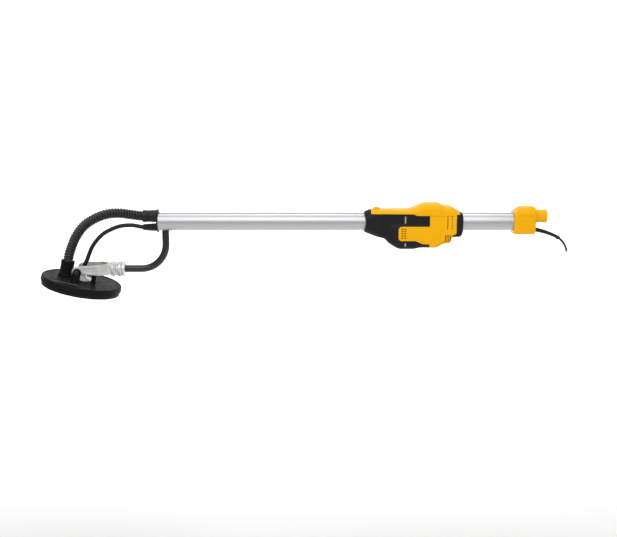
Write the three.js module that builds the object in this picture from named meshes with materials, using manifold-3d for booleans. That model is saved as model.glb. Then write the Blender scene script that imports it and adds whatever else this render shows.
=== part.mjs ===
// Pole drywall sander, millimetres. +X runs along the pole towards the cord, +Z is up.
// The origin is on the pole's axis, inside the motor housing.
import * as THREE from 'three';
import { mergeVertices } from 'three/addons/utils/BufferGeometryUtils.js';
import Module from 'manifold-3d';

const wasm = await Module();
wasm.setup();

// ---------------------------------------------------------------- driving dimensions

const gap = 0.3; // between pieces that touch on the real tool
const skin = 3; // moulded wall thickness

const pole = { radius: 28, wall: 2, frontEnd: -778, frontInner: -134, rearInner: 134, rearEnd: 340 };
const spacer = { front: -470, rear: -458 };
const dustPipe = { radius: 14, wall: 1.5, height: 9, heightAtMotor: 20 };
const driveShaft = { radius: 5, height: -17, rear: -55, front: -772 };

const housing = {
  front: -153, rear: 145, halfWidth: 44, lipHalfWidth: 33, cornerRadius: 20,
  gripEnd: 43, coverStart: -133, coverEdge: 27, coverEdgeRear: 22, top: 57.5, bottom: -80.5,
};
const bumper = { start: 124, coverTip: 134, tipHeight: 26, toe: 113, toeHeight: -31 };
const tongue = { left: -51, top: -10, bottom: -53.5, corner: 10 };
const endPiece = { front: 300, rear: 365, halfWidth: 34, top: 47, bottom: -36.5, corner: 12 };
const spigot = { radius: 20, bore: 17, height: 17.2, end: 402 };
const relief = { radius: 6.2, height: -24 };

const pivotPin = { radius: 4, headRadius: 7, innerEnd: 29, outerEnd: 54.5 };
const stopPost = { x: 49, y: -20, halfSize: 7, corner: 3, top: 6 };
const dial = { x: 62, z: 4, radius: 12, base: 38, face: 47.5 };
const rocker = { front: -126.4, rear: -103.6, halfWidth: 7.4, bottom: 33, shoulder: 40, top: 45.5 };
const frontScrew = { x: -100, z: -20, surface: 40.2 };
const rearScrew = { x: 80, z: -45, surface: 44 };

const motor = { height: -38, stackRadius: 20.5, stackFront: -8, stackRear: 38, shaftRadius: 4 };
const bearing = { radius: 9, length: 8, front: -34, rear: 84 };
const fan = { front: -22, rear: -13, hub: 9, tip: 29, blades: 10 };
const gears = { module: 1, pinion: 9, idlerLarge: 28, idlerSmall: 10, output: 29 };

const supportTube = { radius: 11.25, wall: 1.8, x: -758.5, height: -145.7, bend: 77, end: -944.3 };
const yoke = { armInner: 34, armOuter: 42, collarRadius: 20, collarRear: -905, crotch: -940, bossRadius: 17 };
const pivot = new THREE.Vector3(-1024, 0, -150);
const headPitch = THREE.MathUtils.degToRad(12.5);

// The head's own frame starts at the pivot; its +Z is the pad's normal.
const head = {
  axisX: 10, top: -28, wallBottom: -46, radius: 122.5, earInner: 42.5, earOuter: 50.5, earRadius: 12,
  portX: -42, portRadius: 20, portBore: 16.5, portTop: 22, hubRadius: 24,
};
const pad = { radius: 112.5, top: -44, face: -57 };
const skirt = { radius: 119, inner: 115, top: -41.5, joint: -51 };

const hose = { radius: 16, bore: 13 };
const sheath = { radius: 6.75 };
const cuff = { radius: 18.5, height: 17.2, front: -826 };
const boot = { height: -17, front: -827, bore: 7.6 };

const cord = { radius: 3.5 };
const hank = {
  left: 158, right: 318, near: 45, depth: 70, halfHeight: 25, height: -6, tilt: THREE.MathUtils.degToRad(7.5),
};

// ---------------------------------------------------------------- routes (x, y, z)

const hoseRoute = [
  [-818, 0, 17.2], [-830, 0, 17.3], [-863, 0, 21.6], [-897, 0, 25.6], [-928, 0, 24], [-959, 0, 15.5],
  [-984, 0, 3], [-1004.5, 0, -11], [-1021, 0, -29], [-1035.5, 0, -51], [-1048, 0, -78.5],
  [-1056.5, 0, -102.9], [-1060.2, 0, -119.5], [-1062.4, 0, -129.3],
];
const sheathRoute = [
  [-818, 0, -17], [-828, 0, -16.6], [-861, 0, -11.2], [-895, 0, -13.7], [-924, 0, -23.8], [-949.6, 0, -38],
  [-968.5, 0, -56.2], [-985, 0, -78.5], [-996.5, 0, -104], [-1003.5, 0, -121], [-1009.9, 0, -132.6],
  [-1012.9, 0, -146.3], [-1015.3, 0, -157],
];
const reliefRoute = [
  [361, 0, -24], [372, 0, -24.6], [394.4, 0, -29.8], [415.8, 0, -36.9], [432.2, 0, -44], [444.5, 0, -50.8],
];
// Straight out of the strain relief, down, round a wide turn, and back to the hank beside the rear tube.
const cordRoute = [
  [445.4, 0, -51.6], [451, 0, -56.8], [457.5, 0, -64], [463.5, 1.5, -72.5], [470, 9, -84],
  [475, 22, -93], [480.5, 38, -94.5], [481.5, 51, -88], [477, 57, -77.5], [468.5, 58.5, -66.5],
  [455, 59, -54.5], [437, 59, -46.5], [414, 58, -39.5], [390, 56, -34.5], [362, 53, -31],
  [335, 50.5, -29.2], [313, 49, -28.3],
];

// ---------------------------------------------------------------- geometry helpers

// Joins shared vertices and drops the triangles that a lathe collapses on its axis.
function weld(geometry) {
  const bare = new THREE.BufferGeometry();
  bare.setAttribute('position', geometry.getAttribute('position'));
  bare.setIndex(geometry.index);
  const merged = mergeVertices(bare, 1e-3);
  const index = merged.index.array;
  const kept = [];
  for (let i = 0; i < index.length; i += 3) {
    const [a, b, c] = [index[i], index[i + 1], index[i + 2]];
    if (a !== b && b !== c && c !== a) {
      kept.push(a, b, c);
    }
  }
  merged.setIndex(kept);
  return merged;
}

function toSolid(geometry) {
  const welded = weld(geometry);
  const vertProperties = new Float32Array(welded.getAttribute('position').array);
  const triVerts = new Uint32Array(welded.index.array);
  return new wasm.Manifold(new wasm.Mesh({ numProp: 3, vertProperties, triVerts }));
}

function toGeometry(solid) {
  const mesh = solid.getMesh();
  const geometry = new THREE.BufferGeometry();
  geometry.setAttribute('position', new THREE.BufferAttribute(new Float32Array(mesh.vertProperties), 3));
  geometry.setIndex(new THREE.BufferAttribute(new Uint32Array(mesh.triVerts), 1));
  return geometry;
}

function join(first, ...others) {
  return toGeometry(others.reduce((sum, other) => sum.add(toSolid(other)), toSolid(first)));
}

function cut(first, ...others) {
  return toGeometry(others.reduce((sum, other) => sum.subtract(toSolid(other)), toSolid(first)));
}

function common(first, ...others) {
  return toGeometry(others.reduce((sum, other) => sum.intersect(toSolid(other)), toSolid(first)));
}

function vectors(list) {
  return list.map(([x, y, z]) => new THREE.Vector3(x, y, z));
}

function shapeOf(points) {
  return new THREE.Shape(points.map(([a, b]) => new THREE.Vector2(a, b)));
}

function extrude(shape, depth) {
  return new THREE.ExtrudeGeometry(shape, { depth, bevelEnabled: false, curveSegments: 6 });
}

// A shape drawn in (x, z), extruded along Y.
function sideExtrude(shape, yLow, yHigh) {
  return extrude(shape, yHigh - yLow).rotateX(Math.PI / 2).translate(0, yHigh, 0);
}

// A shape drawn in (y, z), extruded along X.
function crossExtrude(shape, xLow, xHigh) {
  const turn = new THREE.Matrix4().set(0, 0, 1, 0, 1, 0, 0, 0, 0, 1, 0, 0, 0, 0, 0, 1);
  return extrude(shape, xHigh - xLow).applyMatrix4(turn).translate(xLow, 0, 0);
}

// A shape drawn in (x, y), extruded along Z.
function planExtrude(shape, zLow, zHigh) {
  return extrude(shape, zHigh - zLow).translate(0, 0, zLow);
}

// Profiles are [radius, place along the axis], up the outside and down the inside.
function latheX(profile, segments, y = 0, z = 0) {
  const points = profile.map(([r, x]) => new THREE.Vector2(r, x));
  return new THREE.LatheGeometry(points, segments).rotateZ(-Math.PI / 2).translate(0, y, z);
}

function latheZ(profile, segments, x = 0, y = 0) {
  const points = profile.map(([r, z]) => new THREE.Vector2(r, z));
  return new THREE.LatheGeometry(points, segments).rotateX(Math.PI / 2).translate(x, y, 0);
}

function latheY(profile, segments, x = 0, z = 0) {
  const points = profile.map(([r, y]) => new THREE.Vector2(r, y));
  return new THREE.LatheGeometry(points, segments).translate(x, 0, z);
}

function ringProfile(outer, inner, low, high) {
  return [[inner, low], [outer, low], [outer, high], [inner, high], [inner, low]];
}

function rodProfile(radius, low, high) {
  return [[0, low], [radius, low], [radius, high], [0, high]];
}

function box(xLow, xHigh, yLow, yHigh, zLow, zHigh) {
  const geometry = new THREE.BoxGeometry(xHigh - xLow, yHigh - yLow, zHigh - zLow);
  return geometry.translate((xLow + xHigh) / 2, (yLow + yHigh) / 2, (zLow + zHigh) / 2);
}

function circle(radius, sides) {
  const points = [];
  for (let i = 0; i < sides; i += 1) {
    const angle = (2 * Math.PI * i) / sides;
    points.push([radius * Math.cos(angle), radius * Math.sin(angle)]);
  }
  return points;
}

function smooth(route) {
  return new THREE.CatmullRomCurve3(vectors(route), false, 'centripetal');
}

// The stretch of a curve between two fractions of its length.
class Stretch extends THREE.Curve {
  constructor(whole, from, to) {
    super();
    this.whole = whole;
    this.from = from;
    this.to = to;
  }

  getPoint(fraction, target) {
    return this.whole.getPointAt(this.from + (this.to - this.from) * fraction, target);
  }
}

function sweep(extrudePath, steps, radius, sides, bore = 0) {
  const section = shapeOf(circle(radius, sides));
  if (bore > 0) {
    const hole = circle(bore, sides).reverse().map(([a, b]) => new THREE.Vector2(a, b));
    section.holes.push(new THREE.Path(hole));
  }
  return new THREE.ExtrudeGeometry(section, { steps, extrudePath, bevelEnabled: false });
}

// Moves each edge of a counter-clockwise outline inwards by a distance (outwards if negative).
function inset(points, distance) {
  return points.map((point, i) => {
    const before = points[(i + points.length - 1) % points.length];
    const after = points[(i + 1) % points.length];
    const first = new THREE.Vector2(point[0] - before[0], point[1] - before[1]).normalize();
    const second = new THREE.Vector2(after[0] - point[0], after[1] - point[1]).normalize();
    const reach = distance / (1 + first.dot(second));
    return [point[0] - (first.y + second.y) * reach, point[1] + (first.x + second.x) * reach];
  });
}

function roundedRectangle(halfWidth, low, high, radius, steps = 3) {
  const points = [];
  const corners = [
    [halfWidth - radius, high - radius], [-halfWidth + radius, high - radius],
    [-halfWidth + radius, low + radius], [halfWidth - radius, low + radius],
  ];
  corners.forEach(([cx, cz], corner) => {
    for (let i = 0; i <= steps; i += 1) {
      const angle = (Math.PI / 2) * (corner + i / steps);
      points.push([cx + radius * Math.cos(angle), cz + radius * Math.sin(angle)]);
    }
  });
  return points;
}

// A stadium drawn in (x, z): half circles of a radius round two centres.
function stadium(leftX, rightX, z, radius, steps) {
  const points = [];
  for (let i = 0; i <= steps; i += 1) {
    const angle = -Math.PI / 2 + (Math.PI * i) / steps;
    points.push([rightX + radius * Math.cos(angle), z + radius * Math.sin(angle)]);
  }
  for (let i = 0; i <= steps; i += 1) {
    const angle = Math.PI / 2 + (Math.PI * i) / steps;
    points.push([leftX + radius * Math.cos(angle), z + radius * Math.sin(angle)]);
  }
  return points;
}

// ---------------------------------------------------------------- materials and assembly

function finish(color, roughness, metalness) {
  return new THREE.MeshStandardMaterial({ color, roughness, metalness });
}

const aluminium = finish(0xb9babc, 0.4, 0.9);
const castAluminium = finish(0xb4b5b2, 0.5, 0.8);
const steel = finish(0x8f9396, 0.35, 1);
const blackPlastic = finish(0x1d1f22, 0.6, 0);
const blackRubber = finish(0x141516, 0.8, 0);
const yellowPlastic = finish(0xf7b500, 0.45, 0);
const brass = finish(0xc8a24a, 0.35, 1);
const copper = finish(0xa8623a, 0.4, 0.9);
const greyFoam = finish(0x3a3c3f, 0.95, 0);
const abrasive = finish(0x8c7a63, 1, 0);

const tool = new THREE.Group();

function add(name, geometry, material, parent = tool) {
  const mesh = new THREE.Mesh(weld(geometry), material);
  mesh.name = name;
  parent.add(mesh);
}

// ---------------------------------------------------------------- pole

function buildPole() {
  const inner = pole.radius - pole.wall;
  const rearTube = latheX(ringProfile(pole.radius, inner, pole.rearInner, pole.rearEnd), 24);
  const frontTube = latheX(ringProfile(pole.radius, inner, pole.frontEnd, pole.frontInner), 24);
  add('front_tube', frontTube, aluminium);
  add('rear_tube', rearTube, aluminium);

  const disc = latheX(rodProfile(inner - gap, spacer.front, spacer.rear), 20);
  const through = (radius, sides, height) =>
    latheX(rodProfile(radius + gap, spacer.front - 5, spacer.rear + 5), sides, 0, height);
  const pipeHole = through(dustPipe.radius, 16, dustPipe.height);
  const shaftHole = through(driveShaft.radius, 12, driveShaft.height);
  add('pole_spacer', cut(disc, pipeHole, shaftHole), blackPlastic);
}

function buildFrontCap() {
  const flangeFront = pole.frontEnd - 4;
  const flangeRear = pole.frontEnd - gap;
  const round = latheX(rodProfile(pole.radius + 1.5, flangeFront, flangeRear), 24);
  const socket = latheX(rodProfile(cuff.radius + 1.5, flangeFront, flangeRear), 20, 0, cuff.height);
  const plug = latheX(rodProfile(pole.radius - pole.wall - gap, flangeRear - 1, pole.frontEnd + 20), 24);
  const dustHole = latheX(rodProfile(12.5, pole.frontEnd - 10, pole.frontEnd + 30), 14, 0, 11);
  const shaftHole = latheX(rodProfile(driveShaft.radius + 1, -800, -740), 12, 0, driveShaft.height);
  add('front_cap', cut(join(round, socket, plug), dustHole, shaftHole), blackPlastic);

  const cuffRear = flangeFront - gap;
  const cuffRing = ringProfile(cuff.radius, head.portBore, cuff.front, cuffRear);
  add('hose_cuff', latheX(cuffRing, 20, 0, cuff.height), blackRubber);

  const ribs = [[boot.bore, boot.front], [9.2, boot.front]];
  for (let i = 0; i < 5; i += 1) {
    const x = boot.front + 6 + i * 8;
    const radius = 9.3 + i * 0.6;
    ribs.push([radius, x], [radius + 1.6, x + 2.5]);
  }
  ribs.push([12, cuffRear], [boot.bore, cuffRear], [boot.bore, boot.front]);
  add('cable_boot', latheX(ribs, 14, 0, boot.height), blackRubber);
}

function buildDustPipes() {
  const bore = dustPipe.radius - dustPipe.wall;
  const front = ringProfile(dustPipe.radius, bore, pole.frontEnd + 20.5, -130.5);
  const rear = ringProfile(dustPipe.radius, bore, 130.5, pole.rearEnd);
  const route = [
    [-130, 0, dustPipe.height], [-104, 0, dustPipe.height], [-66, 0, dustPipe.heightAtMotor - 2],
    [-20, 0, dustPipe.heightAtMotor], [80, 0, dustPipe.heightAtMotor], [106, 0, dustPipe.height + 4],
    [119, 0, dustPipe.height + 0.3], [130, 0, dustPipe.height],
  ];
  add('dust_pipe_front', latheX(front, 12, 0, dustPipe.height), blackPlastic);
  add('dust_pipe_motor', sweep(smooth(route), 11, dustPipe.radius, 10, bore), blackPlastic);
  add('dust_pipe_rear', latheX(rear, 12, 0, dustPipe.height), blackPlastic);
}

function buildSupportTube() {
  const { x, height, bend, end, radius, wall } = supportTube;
  const route = [[x, 0, -20], [x, 0, -40], [x, 0, height + bend]];
  for (let i = 1; i <= 5; i += 1) {
    const angle = (Math.PI / 2) * (i / 5);
    route.push([x - bend * (1 - Math.cos(angle)), 0, height + bend * (1 - Math.sin(angle))]);
  }
  route.push([x - bend - 30, 0, height], [end + 20, 0, height], [end, 0, height]);
  const tube = sweep(smooth(route), 15, radius, 12, radius - wall);
  const coped = latheX(rodProfile(pole.radius + gap, -800, -700), 24);
  const ring = latheX(ringProfile(radius + 3, radius - 1, end, end + 3.6), 16, 0, height);
  add('support_tube', join(cut(tube, coped), ring), blackPlastic);
}

// The hose and the sheath are each made in two lengths that meet at the middle of the route.
function buildHoseAndSheath() {
  const hoseCurve = smooth(hoseRoute);
  const sheathCurve = smooth(sheathRoute);
  const upper = (curve) => new Stretch(curve, 0, 0.5 - gap / 2 / curve.getLength());
  const lower = (curve) => new Stretch(curve, 0.5 + gap / 2 / curve.getLength(), 1);
  add('dust_hose_upper', sweep(upper(hoseCurve), 8, hose.radius, 10, hose.bore), blackRubber);
  add('dust_hose_lower', sweep(lower(hoseCurve), 8, hose.radius, 10, hose.bore), blackRubber);
  add('sheath_upper', sweep(upper(sheathCurve), 9, sheath.radius, 8), blackRubber);
  add('sheath_lower', sweep(lower(sheathCurve), 9, sheath.radius, 8), blackRubber);
}

// ---------------------------------------------------------------- yoke and head

function buildYoke() {
  const { armInner, armOuter, collarRadius, collarRear, crotch, bossRadius } = yoke;
  const tip = pivot.x - bossRadius;
  const axis = supportTube.height;
  const plan = [
    [tip, -armOuter], [-960, -armOuter], [-932, -collarRadius], [collarRear, -collarRadius],
    [collarRear, collarRadius], [-932, collarRadius], [-960, armOuter], [tip, armOuter],
    [tip, armInner], [-964, armInner], [crotch, 15], [crotch, -15], [-964, -armInner], [tip, -armInner],
  ];
  const side = [[-1020, pivot.z - 8], [-1000, -157], [-930, axis - 17], [collarRear, axis - 17],
    [collarRear, axis + 17], [-930, axis + 17], [-1004, -131]];
  for (let i = 0; i <= 5; i += 1) {
    const angle = THREE.MathUtils.degToRad(75 + (i * 140) / 5);
    side.push([pivot.x + bossRadius * Math.cos(angle), pivot.z + bossRadius * Math.sin(angle)]);
  }
  const arms = common(planExtrude(shapeOf(plan), -180, -110), sideExtrude(shapeOf(side), -60, 60));
  const collar = latheX([
    [0, crotch], [collarRadius - 2, crotch], [collarRadius, -932], [collarRadius, -926],
    [collarRadius + 3, -924], [collarRadius + 3, -918], [collarRadius, -916],
    [collarRadius, collarRear], [0, collarRear],
  ], 18, 0, axis);
  const bore = latheX(rodProfile(supportTube.radius + gap, -990, -890), 14, 0, axis);
  const pinHole = latheY(rodProfile(pivotPin.radius + gap, -60, 60), 12, pivot.x, pivot.z);
  add('yoke', cut(join(arms, collar), bore, pinHole), castAluminium);

  const nut = [
    [supportTube.radius + gap, -904.7], [23.6, -904.7], [23.6, -897], [21.5, -894], [23.6, -891], [22, -884],
    [supportTube.radius + gap, -884], [supportTube.radius + gap, -904.7],
  ];
  add('swivel_nut', latheX(nut, 18, 0, axis), castAluminium);
}

function buildPivotBolt(name, side, group) {
  const { radius, headRadius, innerEnd, outerEnd } = pivotPin;
  const innerFace = yoke.armInner - 0.5;
  const outerFace = head.earOuter + 0.5;
  const bolt = [
    [0, innerEnd], [radius + 2, innerEnd], [radius + 2, innerFace], [radius, innerFace], [radius, outerFace],
    [headRadius, outerFace], [headRadius, outerEnd], [0, outerEnd],
  ];
  const geometry = latheY(bolt, 12);
  if (side < 0) {
    geometry.rotateZ(Math.PI);
  }
  add(name, geometry, steel, group);
}

function buildShroud(group) {
  const { axisX, top, wallBottom, radius, earInner, earOuter, earRadius } = head;
  const shell = latheZ([
    [head.hubRadius + gap, top - skin], [114, top - skin], [skirt.radius + 0.5, top - 8],
    [skirt.radius + 0.5, wallBottom], [radius, wallBottom], [radius, top - 10], [118.5, top - 1.5],
    [116, top], [head.hubRadius + gap, top], [head.hubRadius + gap, top - skin],
  ], 36, axisX);
  const ear = [[earRadius + 2, top - 1.5], [earRadius, top + 6]];
  for (let i = 0; i <= 5; i += 1) {
    const angle = (Math.PI * i) / 5;
    ear.push([earRadius * Math.cos(angle), earRadius * Math.sin(angle)]);
  }
  ear.push([-earRadius, top + 6], [-earRadius - 2, top - 1.5]);
  const nearEar = sideExtrude(shapeOf(ear), -earOuter, -earInner);
  const farEar = sideExtrude(shapeOf(ear), earInner, earOuter);
  const port = latheZ(rodProfile(head.portRadius, top - 1.5, head.portTop), 20, head.portX);
  const { halfSize, corner } = stopPost;
  const postPlan = roundedRectangle(halfSize, stopPost.y - halfSize, stopPost.y + halfSize, corner)
    .map(([x, y]) => [x + stopPost.x, y]);
  const post = planExtrude(shapeOf(postPlan), top - 1.5, stopPost.top);
  const portBore = latheZ(rodProfile(head.portBore, top - 10, head.portTop + 10), 20, head.portX);
  const pinHole = latheY(rodProfile(pivotPin.radius + gap, -60, 60), 12);
  const body = join(shell, nearEar, farEar, port, post);
  add('head_shroud', cut(body, portBore, pinHole), blackPlastic, group);
}

function buildHub(group) {
  const { axisX, top, hubRadius } = head;
  const seat = top + gap;
  const profile = [
    [15, -38], [hubRadius, -38], [hubRadius, seat], [hubRadius + 6, seat], [hubRadius + 6, -23.5],
    [hubRadius + 3, -22], [13, -20], [11, -8], [7.2, -8], [7.2, -11], [9, -11], [9, -20], [15, -20],
    [15, -38],
  ];
  add('hub_housing', latheZ(profile, 20, axisX), castAluminium, group);
  add('cable_nut', latheZ(ringProfile(12, sheath.radius + 0.8, -7.7, 6), 12, axisX), castAluminium, group);
  add('hub_bearing', latheZ(ringProfile(14.7, 8.3, -36, -24), 20, axisX), steel, group);
}

function buildPad(group) {
  const { axisX } = head;
  const { radius, top, face } = pad;
  const spindle = [
    [0, -30], [4.3, -30], [4.3, top + gap], [22, top + gap], [22, -40.5], [8, -40.5], [8, -12], [0, -12],
  ];
  const bolt = [[0, -53], [9, -53], [10, -52], [10, -49.3], [4, -49.3], [4, -32], [0, -32]];
  add('spindle', latheZ(spindle, 16, axisX), steel, group);
  const disc = (outer, inner, low, high) => latheZ(ringProfile(outer, inner, low, high), 30, axisX);
  add('backing_pad', disc(radius - 1, 4.3, top - 5, top), blackPlastic, group);
  add('foam_pad', disc(radius, 13, top - 11, top - 5.3), greyFoam, group);
  add('abrasive_disc', disc(radius, 13, face, top - 11.3), abrasive, group);
  add('pad_bolt', latheZ(bolt, 12, axisX), steel, group);
}

function buildSkirt(group) {
  const { radius, inner, top, joint } = skirt;
  const ring = (outer, bore, low, high) => latheZ(ringProfile(outer, bore, low, high), 36, head.axisX);
  add('skirt_ring', ring(radius, inner - 1, joint, top), blackPlastic, group);
  add('skirt_bristles', ring(radius - 0.5, inner, pad.face, joint - gap), blackRubber, group);
}

function buildHead() {
  const group = new THREE.Group();
  group.position.copy(pivot);
  group.rotation.y = headPitch;
  tool.add(group);
  buildPivotBolt('pivot_bolt_near', -1, group);
  buildPivotBolt('pivot_bolt_far', 1, group);
  buildShroud(group);
  buildHub(group);
  buildPad(group);
  buildSkirt(group);
}

// ---------------------------------------------------------------- motor housing

const housingSide = [
  [-153, -31], [-136, -37], [-114, -44], [-92, -49], [-80, -62], [-65, -72], [-48, -80.5], [-2, -80.5],
  [14, -76.3], [67, -76.3], [88, -64], [108, -62], [112, -43], [138, -43], [145, -36], [145, 27],
  [138, 33], [124, 38], [115, 47.5], [87, 48.5], [77, 57.5], [27, 57.5], [-14, 38.5], [-128, 38.5],
  [-142, 36], [-153, 31],
];

function housingSolid(depth) {
  const { front, rear, halfWidth, lipHalfWidth, cornerRadius, top, bottom } = housing;
  const plan = [
    [front, -lipHalfWidth], [-110, -39], [-60, -halfWidth], [105, -halfWidth], [rear, -39],
    [rear, 39], [105, halfWidth], [-60, halfWidth], [-110, 39], [front, lipHalfWidth],
  ];
  const cross = roundedRectangle(halfWidth - depth, bottom + depth, top - depth, cornerRadius);
  return common(
    sideExtrude(shapeOf(inset(housingSide, depth)), -60, 60),
    planExtrude(shapeOf(inset(plan, depth)), -100, 100),
    crossExtrude(shapeOf(cross), -200, 200),
  );
}

function tongueEdge() {
  const { left, top, bottom, corner } = tongue;
  const points = [[21, -62.4], [1, bottom]];
  for (let i = 0; i <= 3; i += 1) {
    const angle = (Math.PI / 2) * (i / 3);
    points.push([left + corner - corner * Math.sin(angle), bottom + corner - corner * Math.cos(angle)]);
  }
  for (let i = 0; i <= 3; i += 1) {
    const angle = (Math.PI / 2) * (i / 3);
    points.push([left + corner - corner * Math.cos(angle), top - corner + corner * Math.sin(angle)]);
  }
  return points;
}

function buildHousing() {
  const { gripEnd, coverStart, coverEdge, coverEdgeRear } = housing;
  const { start, coverTip, tipHeight, toe, toeHeight } = bumper;
  const tubeBore = latheX(rodProfile(pole.radius + gap, -220, 220), 24);
  const walls = cut(housingSolid(0), housingSolid(skin), tubeBore);

  const grip = [
    [-170, -100], [gripEnd, -100], [gripEnd, -64.4], ...tongueEdge(), [gripEnd, tongue.top],
    [gripEnd, coverEdgeRear - gap], [5, coverEdgeRear - gap], [-6, coverEdge - gap],
    [coverStart - gap, coverEdge - gap], [coverStart - gap, 80], [-170, 80],
  ];
  const cover = [
    [coverStart, coverEdge], [-6, coverEdge], [5, coverEdgeRear], [start, coverEdgeRear],
    [start, tipHeight], [coverTip, tipHeight], [coverTip, 80], [coverStart, 80],
  ];
  const rearEnd = [
    [toe, -100], [200, -100], [200, 80], [coverTip + gap, 80], [coverTip + gap, tipHeight - gap],
    [start + gap, tipHeight - gap], [start + gap, toeHeight], [start - 5, toeHeight - 4],
    [toe, toeHeight - 4],
  ];
  const slab = (outline, extra = 0) => sideExtrude(shapeOf(inset(outline, -extra)), -70, 70);
  const near = box(-200, 200, -70, -gap / 2, -120, 100);
  const far = box(-200, 200, gap / 2, 70, -120, 100);

  const slot = rocker.halfWidth + 0.6;
  const rockerHole = box(rocker.front - 0.6, rocker.rear + 0.6, -slot, slot, 25, 60);
  const dialHole = latheY(rodProfile(dial.radius + 0.6, 30, 60), 20, dial.x, dial.z);
  const screwHole = ({ x, z }) => latheY(rodProfile(2.2, 30, 60), 10, x, z);

  const gripSkin = common(walls, slab(grip));
  add('grip_shell_near', common(gripSkin, near), blackPlastic);
  add('grip_shell_far', cut(common(gripSkin, far), screwHole(frontScrew)), blackPlastic);
  const motorSkin = cut(walls, slab(grip, gap), slab(cover, gap), slab(rearEnd, gap));
  add('motor_shell_near', common(motorSkin, near), yellowPlastic);
  add('motor_shell_far', cut(common(motorSkin, far), dialHole, screwHole(rearScrew)), yellowPlastic);
  add('top_cover', cut(common(walls, slab(cover)), rockerHole), yellowPlastic);
  add('rear_bumper', common(walls, slab(rearEnd)), blackRubber);
}

function screw({ x, z, surface }) {
  const seat = surface + gap;
  const profile = [
    [0, surface - 14], [1.9, surface - 14], [1.9, seat], [4, seat], [4, surface + 2], [3, surface + 2.8],
    [0, surface + 2.8],
  ];
  return latheY(profile, 12, x, z);
}

function buildControls() {
  const { front, rear, halfWidth, bottom, shoulder, top } = rocker;
  const button = [
    [rear, bottom], [rear, shoulder], [rear - 4.4, top],
    [front + 4.4, top], [front, shoulder], [front, bottom],
  ];
  add('switch_rocker', sideExtrude(shapeOf(button), -halfWidth, halfWidth), yellowPlastic);
  add('switch_body', box(front - 0.6, rear + 0.6, -9, 9, 24, bottom - 2.5), blackPlastic);

  const { x, z, radius, base, face } = dial;
  const knob = [[0, base], [radius, base], [radius, face - 1], [radius - 1, face], [0, face]];
  add('speed_dial', latheY(knob, 20, x, z), blackPlastic);
  add('housing_screw_1', screw(frontScrew), steel);
  add('housing_screw_2', screw(rearScrew), steel);
}

// ---------------------------------------------------------------- motor and gears

// A spur gear in (y, z): pointed teeth with backlash, the first one at an angle.
function gearOutline(teeth, startAngle) {
  const pitchRadius = (gears.module * teeth) / 2;
  const rootRadius = pitchRadius - 1.2 * gears.module;
  const tipRadius = pitchRadius + 0.85 * gears.module;
  const step = (2 * Math.PI) / teeth;
  const points = [];
  for (let i = 0; i < teeth; i += 1) {
    const middle = startAngle + i * step;
    [[-0.28, rootRadius], [0, tipRadius], [0.28, rootRadius]].forEach(([part, radius]) => {
      points.push([radius * Math.cos(middle + part * step), radius * Math.sin(middle + part * step)]);
    });
  }
  return points;
}

function gear(teeth, startAngle, y, z, xLow, xHigh) {
  return crossExtrude(shapeOf(gearOutline(teeth, startAngle)), xLow, xHigh).translate(0, y, z);
}

// The idler sits where both centre distances hold.
const firstDistance = (gears.module * (gears.pinion + gears.idlerLarge)) / 2;
const secondDistance = (gears.module * (gears.idlerSmall + gears.output)) / 2;
const axisSpread = driveShaft.height - motor.height;
const idlerRise = (axisSpread ** 2 + firstDistance ** 2 - secondDistance ** 2) / (2 * axisSpread);
const idler = { y: Math.sqrt(firstDistance ** 2 - idlerRise ** 2), z: motor.height + idlerRise };

function buildGears() {
  const toIdler = Math.atan2(idler.z - motor.height, idler.y);
  const toOutput = Math.atan2(driveShaft.height - idler.z, -idler.y);
  const halfTooth = (teeth) => Math.PI / teeth;
  add('motor_pinion', gear(gears.pinion, toIdler, 0, motor.height, -53, -44.3), steel);
  const meshed = toIdler + Math.PI + halfTooth(gears.idlerLarge);
  const large = gear(gears.idlerLarge, meshed, idler.y, idler.z, -52, -46);
  const small = gear(gears.idlerSmall, toOutput, idler.y, idler.z, -64, -51);
  const arbor = latheX(rodProfile(2.8, -70, -40), 12, idler.y, idler.z);
  add('idler_gear', join(large, small, arbor), steel);
  const outputStart = toOutput + Math.PI + halfTooth(gears.output);
  const output = gear(gears.output, outputStart, 0, driveShaft.height, -63, -57);
  const bore = latheX(rodProfile(driveShaft.radius + gap, -80, -50), 16, 0, driveShaft.height);
  add('output_gear', cut(output, bore), steel);
  const rod = rodProfile(driveShaft.radius, driveShaft.front, driveShaft.rear);
  add('drive_shaft', latheX(rod, 12, 0, driveShaft.height), steel);
}

function buildMotor() {
  const { height, stackRadius, stackFront, stackRear, shaftRadius } = motor;
  const armature = [
    [0, -44], [shaftRadius, -44], [shaftRadius, stackFront], [stackRadius, stackFront],
    [stackRadius, stackRear], [shaftRadius, stackRear], [shaftRadius, 50], [12, 50], [12, 66],
    [shaftRadius, 66], [shaftRadius, 93], [0, 93],
  ];
  add('armature', latheX(armature, 18, 0, height), copper);
  add('stator', latheX(ringProfile(33, stackRadius + 1, stackFront, stackRear), 24, 0, height), steel);
  const race = (x) => ringProfile(bearing.radius, shaftRadius + gap, x, x + bearing.length);
  add('armature_bearing_front', latheX(race(bearing.front), 14, 0, height), steel);
  add('armature_bearing_rear', latheX(race(bearing.rear), 14, 0, height), steel);

  const outline = [];
  for (let i = 0; i < fan.blades; i += 1) {
    const start = (2 * Math.PI * i) / fan.blades;
    [[0, fan.hub], [0.12, fan.tip], [0.24, fan.tip], [0.3, fan.hub]].forEach(([turn, radius]) => {
      outline.push([radius * Math.cos(start + turn), radius * Math.sin(start + turn)]);
    });
  }
  const wheel = crossExtrude(shapeOf(outline), fan.front, fan.rear).translate(0, 0, height);
  const bore = latheX(rodProfile(shaftRadius + gap, fan.front - 5, fan.rear + 5), 16, 0, height);
  add('motor_fan', cut(wheel, bore), blackPlastic);
}

// ---------------------------------------------------------------- rear end piece

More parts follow.
